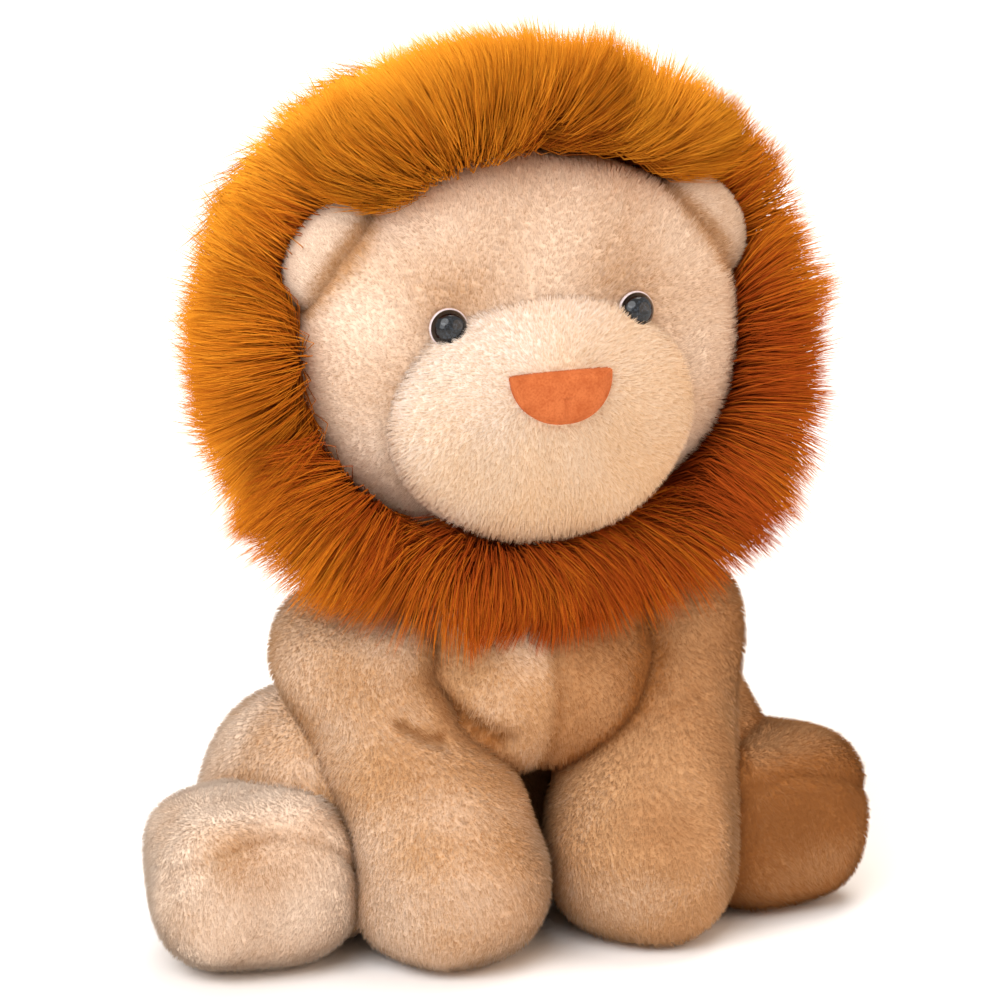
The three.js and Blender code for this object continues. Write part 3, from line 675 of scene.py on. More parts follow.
def new_material(name):
    """A material with an empty node tree but for its shader, which is returned with the tree."""
    material = bpy.data.materials.new(name)
    material.use_nodes = True
    tree = material.node_tree
    return material, tree, tree.nodes["Principled BSDF"]


def add_node(tree, kind, inputs=None, **options):
    """Adds one node: options are its own settings, and inputs are what its sockets are fed."""
    made = tree.nodes.new(kind)
    for key, value in options.items():
        setattr(made, key, value)
    feed(tree, made, inputs or {})
    return made


def feed(tree, node, inputs):
    """Gives a node's sockets their values, or the sockets that they link from."""
    for key, value in inputs.items():
        if isinstance(value, bpy.types.NodeSocket):
            tree.links.new(value, node.inputs[key])
        else:
            node.inputs[key].default_value = value


def dyed(dark, light):
    """Dark, middle and light, where the middle is the mean that dyes give: the root of their product."""
    return tuple(dark), tuple(math.sqrt(d * l) for d, l in zip(dark, light)), tuple(light)


def on_scale(tree, amount, stops):
    """The colour at an amount from 0 to 1 on a scale of a dark, a middle and a light colour."""
    low = add_node(tree, "ShaderNodeMapRange", {0: amount, 2: 0.5}).outputs[0]
    high = add_node(tree, "ShaderNodeMapRange", {0: amount, 1: 0.5}).outputs[0]
    darker = add_node(tree, "ShaderNodeMix", {0: low, 6: stops[0], 7: stops[1]}, data_type="RGBA").outputs[2]
    return add_node(tree, "ShaderNodeMix", {0: high, 6: darker, 7: stops[2]}, data_type="RGBA").outputs[2]


def pile_material(name, tips, roots, roughness, depth=0.6):
    """Polyester pile: dyed fibre, dull, darker at its roots, each fibre a little off the dye's mean.

    The pile map's first value runs from the darkest fibre to the lightest and its second from root to tip.
    The greater the depth, the further up the fibre the root's colour reaches. Tips and roots are each a dark,
    a middle and a light colour.
    """
    material, tree, shader = new_material(name)
    pile_map = add_node(tree, "ShaderNodeUVMap", uv_map=PILE_MAP).outputs[0]
    place = add_node(tree, "ShaderNodeSeparateXYZ", {0: pile_map})
    ends = [on_scale(tree, place.outputs[0], stops) for stops in (roots, tips)]
    rise = add_node(tree, "ShaderNodeMath", {0: place.outputs[1], 1: depth}, operation="POWER")
    mixed = add_node(tree, "ShaderNodeMix", {0: rise.outputs[0], 6: ends[0], 7: ends[1]}, data_type="RGBA")
    feed(tree, shader, {"Base Color": mixed.outputs[2], "Roughness": roughness, "Specular IOR Level": 0.0})
    return material


def plush_material(name, root, stops):
    """Brushed polyester plush from above: packed fibre ends, fine pale specks that are dark where it parts.

    The skin's own shade says how light it is on the scale of stops.
    """
    material, tree, shader = new_material(name)
    place = add_node(tree, "ShaderNodeTexCoord").outputs["Object"]
    grains, layers = [], []
    for size, detail, share in ((0.55, 3.0, 0.55), (2.0, 2.0, 0.2), (14, 3.0, 0.35)):
        look = {"Vector": place, "Scale": 0.5 / (size * MM), "Detail": detail}
        grains.append(add_node(tree, "ShaderNodeTexNoise", look).outputs[0])
        layers.append(add_node(tree, "ShaderNodeMapRange", {0: grains[-1], 1: 0.3, 2: 0.7, 4: share}))
    fine, middle, broad = layers
    some = add_node(tree, "ShaderNodeMath", {0: fine.outputs[0], 1: middle.outputs[0]}, operation="ADD")
    whole = add_node(tree, "ShaderNodeMath", {0: some.outputs[0], 1: broad.outputs[0]}, operation="ADD")
    level = {0: whole.outputs[0], 1: 0.26, 2: -0.13}
    spread = add_node(tree, "ShaderNodeMath", level, operation="MULTIPLY_ADD")
    shade = add_node(tree, "ShaderNodeAttribute", attribute_name=SHADE).outputs["Fac"]
    shade = add_node(tree, "ShaderNodeMath", {0: shade, 1: spread.outputs[0]}, operation="ADD")
    ramp = on_scale(tree, shade.outputs[0], stops)
    parted = add_node(tree, "ShaderNodeMapRange", {0: grains[0], 1: 0.38, 2: 0.3, 4: 0.45})
    dye = add_node(tree, "ShaderNodeMix", {0: parted.outputs[0], 6: ramp, 7: root}, data_type="RGBA")
    grain = {"Height": some.outputs[0], "Strength": 0.35, "Distance": 0.4 * MM}
    relief = add_node(tree, "ShaderNodeBump", grain).outputs[0]
    dull = {"Roughness": 0.9, "Specular IOR Level": 0.0}
    feed(tree, shader, {"Base Color": dye.outputs[2], "Normal": relief, **dull})
    return material


def suede_material(colours):
    """Micro-suede: brushed polyester with a faint nap and a dull sheen, darker where it is rubbed."""
    material, tree, shader = new_material("brushed_micro_suede")
    place = add_node(tree, "ShaderNodeTexCoord").outputs["Object"]
    rubbed = add_node(tree, "ShaderNodeTexNoise", {"Vector": place, "Scale": 1 / (5 * MM), "Detail": 5.0})
    fluff = add_node(tree, "ShaderNodeTexNoise", {"Vector": place, "Scale": 1 / (0.7 * MM), "Detail": 3.0})
    both = add_node(tree, "ShaderNodeMath", {0: rubbed.outputs[0], 1: fluff.outputs[0]}, operation="MULTIPLY")
    ramp = add_node(tree, "ShaderNodeMapRange", {0: both.outputs[0], 1: 0.12, 2: 0.36})
    dark, light = tuple(colours.suede_dark), tuple(colours.suede)
    dye = add_node(tree, "ShaderNodeMix", {0: ramp.outputs[0], 6: dark, 7: light}, data_type="RGBA")
    grain = {"Height": fluff.outputs[0], "Strength": 0.35, "Distance": 0.25 * MM}
    relief = add_node(tree, "ShaderNodeBump", grain).outputs[0]
    brushed = {"Roughness": 0.85, "Specular IOR Level": 0.2, "Sheen Weight": 0.35, "Sheen Tint": light}
    feed(tree, shader, {"Base Color": dye.outputs[2], "Normal": relief, **brushed})
    return material


def dress(piece, body, slot, *nodes, fill=None):
    """Attaches a piece to the body that it rides on, where that is given by name, or else only bakes its
    place into its mesh, and hides the CAD nodes that it stands for. The slot and fill are not used.
    """
    if isinstance(body, str):
        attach(piece, body)
    else:
        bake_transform(piece)
    if nodes:
        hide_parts(*nodes)


def plump(centres, girth, reach, inset, **kind):
    """A stuffed form with one girth all round: reach is how far it goes sideways, forwards and backwards."""
    return StuffedForm(centres, *(girth * (r - inset) for r in reach), **kind)


def torso_form(sizes, inset):
    """An upright pear about the neck's axis."""
    scale = [NECK[2], sizes.torso_half_width, sizes.torso_front, sizes.torso_back]
    rows = closed_ends(smooth_rows(TORSO_SHARES, scale, 60, (False, True)))
    height = sizes.ground_gap + rows[:, 0] * (NECK[2] - inset - sizes.ground_gap)
    return StuffedForm(
        placed(0, NECK[1], height),
        rows[:, 1] * (sizes.torso_half_width - inset),
        rows[:, 2] * (sizes.torso_front - inset),
        rows[:, 3] * (sizes.torso_back - inset),
    )


def head_form(sizes, inset):
    """A wide drum with a shallow face and a deep back."""
    rows = smooth_rows(HEAD_SHARES, [sizes.head_height, sizes.head_half_width], 64, (True, True))
    height = sizes.head_bottom + inset + rows[:, 0] * (sizes.head_height - 2 * inset)
    reach = (sizes.head_half_width, sizes.head_front, sizes.head_back)
    return plump(placed(0, -sizes.head_y, height), rows[:, 1], reach, inset, squareness=2.5)


def muzzle_form(sizes, inset):
    """A round cushion that swells forwards out of the face."""
    rows = smooth_rows(MUZZLE_SHARES, [sizes.muzzle_depth, sizes.muzzle_half_width], 48, (True, True))
    forward = inset + rows[:, 0] * (sizes.muzzle_depth - 2 * inset)
    back = -sizes.muzzle_front + sizes.muzzle_depth
    reach = (sizes.muzzle_half_width, sizes.muzzle_half_height, sizes.muzzle_half_height)
    return plump(placed(0, back - forward, sizes.muzzle_z), rows[:, 1], reach, inset, forwards=True)


def front_leg_form(sizes, hand, inset):
    """A column from the shoulder down to a round paw, bending forwards on its way."""
    shoulder = JOINT_PLACES["front_leg_left_swing"]
    top = shoulder[2] + sizes.shoulder_rise
    rows = closed_ends(smooth_rows(FRONT_LEG_SHARES, [top, sizes.paw_half_width, 0.02], 60))
    rows[:, 1] = np.maximum(rows[:, 1], 0)
    rows[-1, 1] = 0
    height = sizes.ground_gap + rows[:, 0] * (top - inset - sizes.ground_gap)
    way = np.interp(rows[:, 0], [row[0] for row in FRONT_LEG_SHARES], [row[2] for row in FRONT_LEG_SHARES])
    x = hand * (sizes.paw_x + way * (shoulder[0] - sizes.paw_x))
    y = -sizes.paw_y + way * (shoulder[1] + sizes.paw_y)
    reach = (sizes.paw_half_width, sizes.paw_half_depth, sizes.paw_half_depth)
    return plump(placed(x, y, height), rows[:, 1], reach, inset)


def thigh_form(sizes, hand, inset):
    """A plump ball beside the torso."""
    rows = smooth_rows(THIGH_SHARES, [sizes.thigh_height, sizes.thigh_half_width], 44, (False, True))
    rows = closed_ends(rows)
    height = sizes.ground_gap + rows[:, 0] * (sizes.thigh_height - inset - sizes.ground_gap)
    reach = (sizes.thigh_half_width, sizes.thigh_half_depth, sizes.thigh_half_depth)
    return plump(placed(hand * sizes.thigh_x, -sizes.thigh_y, height), rows[:, 1], reach, inset)


def foot_form(sizes, hand, inset):
    """A blunt stub that points forwards, with a round sole."""
    rows = smooth_rows(FOOT_SHARES, [sizes.foot_length, sizes.foot_half_width], 48, (True, True))
    forward = inset + rows[:, 0] * (sizes.foot_length - 2 * inset)
    back = -sizes.foot_front + sizes.foot_length
    x = hand * sizes.foot_x - sizes.feet_shift
    centres = placed(x, back - forward, sizes.foot_half_height)
    reach = (sizes.foot_half_width, sizes.foot_half_height, sizes.foot_half_height)
    return plump(centres, rows[:, 1], reach, inset, squareness=3.0, forwards=True)


def soft_lumps(wavelength, depth, seed):
    """The unevenness of loose stuffing."""
    return lambda points: depth * ripple(points, wavelength, seed)


def stand(grid, height):
    """A grid that goes no lower than a height."""
    grid = grid.copy()
    grid[..., 2] = np.maximum(grid[..., 2], height)
    return grid


def uncovered(*forms):
    """Says which points lie outside some forms and clear of the ground."""
    least_height = 2 * MM

    def shown(points):
        return ~np.any([form.holds(points) for form in forms], axis=0) & (points[:, 2] > least_height)

    return shown


def nap_materials():
    """The short pile and the plush under it, made once."""
    names = ("short_polyester_pile", "short_polyester_plush")
    if names[0] not in bpy.data.materials:
        colours = settings()[2]
        light, dark, root = (np.array(c) for c in (colours.nap_light, colours.nap_dark, colours.nap_root))
        pile_material(names[0], dyed(dark, light), dyed(root * 0.8, root * 0.4 + light * 0.6), 0.9)
        plush_material(names[1], tuple(root), dyed(dark, light))
    return [bpy.data.materials[name] for name in names]


def short_pile(name, base, number, comb, tone, seed, share=1.0, **more):
    """The lion's beige nap on a skin, at a share of its usual length."""
    pile = settings()[1]
    size = (share * pile.nap_length, pile.nap_width)
    return grow_pile(name, base, number, comb, nap_materials()[0], size, tone, seed=seed, **more)


def dress_both(fabric, fur, body, slot, *nodes, fill):
    """Says the same of a skin and its pile, where only the skin stands for CAD nodes."""
    dress(fabric, body, slot, *nodes, fill=fill)
    dress(fur, body, slot)


def upright_line(points, hand=1, middle=0.0):
    """A line of corners across and up, from millimetres, mirrored for a hand."""
    points = np.array(points) * MM
    return placed(middle + hand * points[:, 0], 0, points[:, 1])


class LION_OT_torso(bpy.types.Operator):
    """Makes the torso: a pear of short pile with a seam down the chest"""

    bl_idname = "lion.torso"
    bl_label = "Torso"

    def execute(self, context):
        sizes, pile, _ = settings()
        form = torso_form(sizes, sizes.pile_depth)
        seam_foot = 0.03
        chest = form.centres[:, 2] > seam_foot
        front_y = form.centres[:, 1] - form.front
        seam = placed(0, front_y, form.centres[:, 2])[chest]
        line = upright_line(CHEST_CREASE)

        def crease(points, width, depth):
            """A groove across the lower right of the chest."""
            return groove(points * [1, 0, 1], line, width, depth) * (points[:, 1] < NECK[1])

        grid = pushed(
            form.grid(128),
            lambda p: groove(p, seam, 2.2 * MM, 2.6 * MM),
            lambda p: crease(p, 3 * MM, 5.5 * MM),
            soft_lumps(0.06, 0.9 * MM, 3),
        )
        # The belly draws back between the front legs
        belly_top, belly_half_width = 0.058, 0.040
        below = np.clip((belly_top - grid[..., 2]) / 0.010, 0, 1)
        between = np.clip((belly_half_width - np.abs(grid[..., 0])) / 0.012, 0, 1) * (grid[..., 1] < NECK[1])
        grid[..., 1] += 0.8 * (NECK[1] - grid[..., 1]) * (3 * below**2 - 2 * below**3) * between
        fabric = skin("torso_fabric", stand(grid, sizes.ground_gap), nap_materials()[1])
        forms = (front_leg_form, thigh_form)
        hidden = [form(sizes, hand, BURIED) for form in forms for hand in SIDES.values()]
        legs = [front_leg_form(sizes, hand, 0) for hand in SIDES.values()]

        def shown(points):
            covered = np.any([form.holds(points) for form in hidden], axis=0)
            below_head = points[:, 2] < NECK[2] - 0.012
            return ~covered * below_head * (0.35 + 0.65 * (points[:, 1] < NECK[1]))

        def comb(points):
            return placed(0.15 * points[:, 0] / sizes.torso_half_width, -0.15, -1)

        def tone(points):
            front = points[:, 1] < NECK[1]
            # Two-tone chest: the panels differ in tone at the seam, and the darker one, on the lion's left,
            # also carries painted shade for the side turned from the key light.
            paler_panel = 0.18 * np.tanh(-points[:, 0] / (2 * MM)) * front
            seam_line = 0.25 * np.exp(-((points[:, 0] / (1.3 * MM)) ** 2)) * front
            # Painted shade: darker where the front legs meet the torso and along the chest's crease.
            beside = 0.35 * sum(closeness(points, leg, 5 * MM) for leg in legs)
            painted_crease_shade = crease(points, 2.4 * MM, 0.5)
            return 0.38 + paler_panel - seam_line + 0.07 * ripple(points, 0.035, 5) + painted_crease_shade - beside

        fur = short_pile("torso_pile", fabric, pile.torso_count, comb, tone, 101, weight=shown, floor=0.0)
        dress_both(fabric, fur, "torso", "short_pile", "torso_cover", "torso_filling", fill=0.8)
        return {"FINISHED"}


class LION_OT_head(bpy.types.Operator):
    """Makes the head: a wide drum of short pile with a shallow face"""

    bl_idname = "lion.head"
    bl_label = "Head"

    def execute(self, context):
        sizes, pile, _ = settings()
        form = head_form(sizes, sizes.pile_depth)
        sockets = [eye_axis(side)[0] for side in SIDES]
        grid = pushed(
            form.grid(112),
            soft_lumps(0.07, 0.7 * MM, 7),
            *[lambda p, at=at: dent(p, at, 11 * MM, 2.2 * MM) for at in sockets],
        )
        fabric = skin("head_fabric", grid, nap_materials()[1])
        muzzle = muzzle_form(sizes, BURIED)
        face_centre = np.array([0, -sizes.muzzle_front, sizes.muzzle_z])
        cushion = muzzle_form(sizes, 0)
        ears = [ear_frame(sizes, hand) for hand in SIDES.values()]
        # Heights: below the first, painted shade darkens the crease round the muzzle, and the chin is paler
        # with painted light below the second
        cheek_z, jaw_z = 0.195, 0.162

        def shown(points):
            in_face = (points[:, 1] < -sizes.head_y + 0.012) & (points[:, 2] > sizes.head_bottom + 0.010)
            return in_face & ~muzzle.holds(points)

        def comb(points):
            return points - face_centre

        def eyes_clear(spine):
            near = [np.linalg.norm(spine - at, axis=2).min(0) < 5.7 * MM for at in sockets]
            return np.any(near, axis=0)

        def tone(points):
            brow = -sum(dent(points, at + 8 * MM * UP, 20 * MM, 1) for at in sockets)
            # Painted shade in the creases round the lower muzzle and the ears, and painted light a little
            # above the muzzle; painted light on the downward-facing chin.
            seam = closeness(points, cushion) * np.clip((cheek_z - points[:, 2]) / 0.02, -0.4, 1)
            painted_ear_crease_shade = sum(closeness((points - place) @ turn, ear_form(sizes, 0)) for place, turn in ears)
            chin = 0.1 * np.clip((jaw_z - points[:, 2]) / 0.02, 0, 1)
            return 0.88 + chin - 0.22 * brow + 0.06 * ripple(points, 0.04, 9) - 0.08 * seam - 0.35 * painted_ear_crease_shade

        more = {"weight": shown, "drop": eyes_clear, "swirl": 22}
        fur = short_pile("head_pile", fabric, pile.head_count, comb, tone, 202, **more)
        dress_both(fabric, fur, "head", "short_pile", "head_cover", "head_filling", fill=0.9)
        return {"FINISHED"}


class LION_OT_muzzle(bpy.types.Operator):
    """Makes the muzzle: a cushion of paler pile on the face"""

    bl_idname = "lion.muzzle"
    bl_label = "Muzzle"

    def execute(self, context):
        sizes, pile, colours = settings()
        light, dark, root = tuple(colours.pale_light), tuple(colours.pale_dark), tuple(colours.pale_root)
        nap = pile_material("pale_polyester_pile", dyed(dark, light), dyed(root, dark), 0.9)
        backing = plush_material("pale_polyester_plush", root, dyed(dark, light))
        form = muzzle_form(sizes, sizes.pile_depth)
        nose_low, nose_high = (np.array(corner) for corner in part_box("nose"))
        nose_middle = (nose_low + nose_high) / 2
        fabric = skin("muzzle_fabric", pushed(form.grid(96), soft_lumps(0.05, 0.6 * MM, 13)), backing)
        head = head_form(sizes, 6 * MM)
        sockets = [eye_axis(side)[0] for side in SIDES]

        def shown(points):
            return ~head.holds(points)

        def comb(points):
            away = points - nose_middle
            return unit(away) - 0.25 * UP

        def clear(spine):
            eye = np.any([np.linalg.norm(spine - at, axis=2).min(0) < 2.6 * MM for at in sockets], axis=0)
            across = np.abs(spine[..., 0]) / (nose_high[0] - 0.8 * MM)
            down = (nose_high[2] - 0.8 * MM - spine[..., 2]) / (nose_high[2] - nose_low[2])
            before_nose = spine[..., 1] < nose_middle[1] + 0.012
            return eye | ((across**2 + down**2 < 0.94) & (down > 0) & before_nose).any(0)

        def tone(points):
            # Painted light: paler towards the top and towards the key light on the lion's right, darker low
            # down.
            high = (points[:, 2] - sizes.muzzle_z) / sizes.muzzle_half_height
            across = points[:, 0] / sizes.muzzle_half_width
            return 0.42 + 0.34 * high - 0.22 * across + 0.07 * ripple(points, 0.03, 15)

        size = (1.15 * pile.nap_length, pile.nap_width)
        more = {"weight": shown, "drop": clear, "lift": (38, 38), "pull": 0.32, "mix": 0.4, "swirl": 16}
        fur = grow_pile("muzzle_pile", fabric, pile.muzzle_count, comb, nap, size, tone, seed=303, **more)
        dress_both(fabric, fur, "head", "pale_pile", "muzzle_cover", fill=0.9)
        return {"FINISHED"}


class LION_OT_nose(bpy.types.Operator):
    """Makes the nose: a padded D of suede with a turned edge and a stitched dimple"""

    bl_idname = "lion.nose"
    bl_label = "Nose"

    def execute(self, context):
        sizes, _, colours = settings()
        low, high = (np.array(corner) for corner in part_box("nose"))
        half_width, height = (high[0] - low[0]) / 2, high[2] - low[2]
        angle = turns(96)
        lower = np.sin(angle) < 0
        outline_x = half_width * np.sign(np.cos(angle)) * np.abs(np.cos(angle)) ** 0.9
        outline_z = high[2] + np.where(lower, height, 0.9 * MM) * np.sin(angle)
        middle_z = high[2] - 0.42 * height
        reach = np.sin(np.linspace(0, math.pi / 2, 24))
        x = reach[:, None] * outline_x
        z = middle_z + reach[:, None] * (outline_z - middle_z)
        surface = muzzle_front_y(sizes, x, z)
        puff = (1 - reach**5) ** 0.5
        dimple = 0.9 * MM * np.exp(-((x / (0.9 * MM)) ** 2)) * (z < middle_z) * puff[:, None]
        stitches = 0.25 * MM * np.exp(-(((reach - 0.9) / 0.03) ** 2))[:, None] * (1 + np.cos(26 * angle))
        front = surface - sizes.nose_thickness * puff[:, None] + dimple + stitches
        back = surface + 3 * MM
        sheet = np.concatenate([placed(x, front, z), placed(x, back, z)[::-1]])
        patch = skin("nose_patch", sheet, suede_material(colours))
        dress(patch, "head", "suede", "nose", fill=0.7)
        return {"FINISHED"}


def muzzle_front_y(sizes, x, z):
    """Where the front of the muzzle's pile lies at a place across and up it."""
    rows = smooth_rows(MUZZLE_SHARES, [sizes.muzzle_depth, sizes.muzzle_half_width], 200, (True, True))
    widest = int(np.argmax(rows[:, 1]))
    front = rows[widest:][::-1]
    girth = np.hypot(x / sizes.muzzle_half_width, (z - sizes.muzzle_z) / sizes.muzzle_half_height)
    forward = np.interp(girth, front[:, 1], front[:, 0])
    return -sizes.muzzle_front + (1 - forward) * sizes.muzzle_depth


def eye_axis(side):
    """The middle of an eye's dome, where it meets the face, and its outward direction.

    The direction runs from the middle of the washer to the mean of the eye, which are both on its axis.
    """
    places = vertex_rows(frame["nodes"][f"eye_{side}"].data)
    washer = sum(np.array(corner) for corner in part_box(f"eye_washer_{side}")) / 2
    outward = unit(places.mean(0) - washer)
    far = ((places - washer) @ outward).max()
    dome_height = 4.5 * MM
    return washer + outward * (far - dome_height), outward


class LION_OT_eyes(bpy.types.Operator):
    """Makes the eyes: glossy domes with a pale flange, and gives their washers plastic"""

    bl_idname = "lion.eyes"
    bl_label = "Eyes"

    def execute(self, context):
        colours = settings()[2]
        pale = tuple(colours.eye_rim)
        flange, tree, shader = new_material("pale_moulded_flange")
        spots = self.mottle(tree, pale, tuple(c * 0.8 for c in pale[:3]) + (1,), 1 * MM)
        feed(tree, shader, {"Base Color": spots, "Roughness": 0.35})
        washer, tree, shader = new_material("moulded_nylon_washer")
        spots = self.mottle(tree, *(linear(code) for code in WASHER_SHADES), 3 * MM)
        feed(tree, shader, {"Base Color": spots, "Roughness": 0.5})
        for side in SIDES:
            centre, outward = eye_axis(side)
            domes = self.dome_material(colours, side, centre + 4 * MM * outward)
            across = unit(np.cross(UP, outward))
            high = np.cross(outward, across)
            angle = turns(48)
            for name, rows, material, slot in (
                (f"eye_{side}_dome", EYE_DOME, domes, "eye_plastic"),
                (f"eye_{side}_flange", EYE_FLANGE, flange, "washer_plastic"),
            ):
                smooth = smooth_rows(np.array(rows)[:, ::-1] * MM, [1, 1], 26, (True, True))
                ring = np.cos(angle)[:, None] * across + np.sin(angle)[:, None] * high
                grid = centre + smooth[:, :1, None] * outward + smooth[:, 1, None, None] * ring
                stands_for = [f"eye_{side}"] if rows is EYE_DOME else []
                dress(skin(name, grid, material), "head", slot, *stands_for)
            slots = frame["nodes"][f"eye_washer_{side}"].data.materials
            slots.clear()
            slots.append(washer)
        return {"FINISHED"}

    def dome_material(self, colours, side, middle):
        """Moulded acrylic, polished: near black, with a mottled slate middle under a clear gloss. The mottled
        middle is a painted reflection of the surroundings seen in the dome.
        """
        material, tree, shader = new_material(f"polished_acrylic_{side}")
        black = tuple(colours.eye_black)
        spots = self.mottle(tree, black, tuple(colours.eye_painted_reflection), 0.7 * MM)
        place = add_node(tree, "ShaderNodeTexCoord").outputs["Object"]
        apart = add_node(tree, "ShaderNodeVectorMath", {0: place, 1: tuple(middle)}, operation="DISTANCE")
        inner = add_node(tree, "ShaderNodeMapRange", {0: apart.outputs["Value"], 1: 4.1 * MM, 2: 3.7 * MM})
        dye = add_node(tree, "ShaderNodeMix", {0: inner.outputs[0], 6: black, 7: spots}, data_type="RGBA")
        glossy = {"Roughness": 0.08, "IOR": 1.49, "Specular IOR Level": 0.3}
        clear_coat = {"Coat Weight": 0.3, "Coat Roughness": 0.03}
        feed(tree, shader, {"Base Color": dye.outputs[2], **glossy, **clear_coat})
        return material

    def mottle(self, tree, dark, light, size):
        """Two colours in soft spots of a size."""
        place = add_node(tree, "ShaderNodeTexCoord").outputs["Object"]
        noise = add_node(tree, "ShaderNodeTexNoise", {"Vector": place, "Scale": 1 / size, "Detail": 4.0})
        ramp = add_node(tree, "ShaderNodeMapRange", {0: noise.outputs[0], 1: 0.45, 2: 0.7})
        both = add_node(tree, "ShaderNodeMix", {0: ramp.outputs[0], 6: dark, 7: light}, data_type="RGBA")
        return both.outputs[2]


class LION_OT_ears(bpy.types.Operator):
    """Makes the ears: rounded half discs, hollow in front"""

    bl_idname = "lion.ears"
    bl_label = "Ears"

    def execute(self, context):
        sizes, pile, _ = settings()
        head, whole_head = head_form(sizes, BURIED), head_form(sizes, 0)
        cup = [0, -sizes.ear_half_thickness, 0.5 * sizes.ear_length]
        form = ear_form(sizes, sizes.pile_depth)
        grid = pushed(form.grid(72), lambda p: dent(p, cup, 9 * MM, 0.8 * MM))
        for side, hand in SIDES.items():
            place, out = ear_frame(sizes, hand)
            fabric = skin(f"ear_{side}_fabric", place + grid @ out.T, nap_materials()[1])
            tip = out @ UP

            def comb(points):
                return tip

            def tone(points):
                local = (points - place) @ out
                # Paler towards the rim: partly the ear's own cream rim, partly a painted sheen along its
                # edge.
                rim = local[:, 2] / sizes.ear_length + (local[:, 0] / sizes.ear_half_width) ** 2
                # Painted shade in the crease where the ear meets the head.
                fold = closeness(points, whole_head)
                return 0.62 + 0.32 * np.clip(rim, 0, 1.2) + 0.05 * ripple(points, 0.02, 17) - 0.34 * fold

            more = {"share": 0.85, "weight": lambda p: ~head.holds(p), "swirl": 14}
            fur = short_pile(f"ear_{side}_pile", fabric, pile.ear_count, comb, tone, 404 + hand, **more)
            dress_both(fabric, fur, "head", "short_pile", f"ear_{side}", fill=0.5)
        return {"FINISHED"}


def ear_form(sizes, inset):
    """A rounded half disc that stands on its root, in the ear's own frame."""
    rows = smooth_rows(EAR_SHARES, [sizes.ear_length, sizes.ear_half_width], 36, (False, True))
    rows = closed_ends(rows)
    height = rows[:, 0] * (sizes.ear_length - inset)
    thick = rows[:, 1] * (sizes.ear_half_thickness - 0.6 * inset)
    return StuffedForm(placed(0, 0, height), rows[:, 1] * (sizes.ear_half_width - inset), thick, thick)


def ear_frame(sizes, hand):
    """The place of an ear's root and the turn that leans it out along the head."""
    lean = hand * math.radians(EAR_LEAN_DEGREES)
    turn = np.array([[math.cos(lean), 0, math.sin(lean)], [0, 1, 0], [-math.sin(lean), 0, math.cos(lean)]])
    return np.array([hand * sizes.ear_x, -sizes.ear_y, sizes.ear_z]), turn


def mane_shape(sizes, out, forward, angle):
    """Points of the mane: a ring's outline turned about the face, drawn to a squarish oval, pushed out below.

    Across and up, a point lies out * sine and out * cosine of its angle, times the half width and half
    height, each stretched as an oval of the mane's roundness is. Its depth is the share forward of the mane,
    plus the square of how low it is.
    """
    power = MANE_ROUNDNESS
    sine, cosine = np.sin(angle), np.cos(angle)
    widen = 1 / (np.abs(sine) ** power + np.abs(cosine) ** power) ** (1 / power)
    across = out[:, None] * sine * widen
    high = out[:, None] * cosine * widen
    low = np.maximum(0, -out[:, None] * cosine)
    depth = sizes.mane_back + sizes.mane_front
    y = sizes.mane_back - forward[:, None] * depth - sizes.mane_push * low**2
    return placed(across * sizes.mane_half_width, y, sizes.mane_z + high * sizes.mane_half_height)


def swept(points, forms, margin):
    """Which points of the head come within a margin of the body's forms as it turns from limit to limit."""
    met = np.zeros(len(points), bool)
    for degrees in np.linspace(*HEAD_TURNS, 7):
        sine, cosine = math.sin(math.radians(degrees)), math.cos(math.radians(degrees))
        turn = np.array([[cosine, -sine, 0], [sine, cosine, 0], [0, 0, 1]])
        turned = (points - NECK) @ turn.T + NECK
        for form in forms:
            met |= form.holds(turned, -margin)
    return met


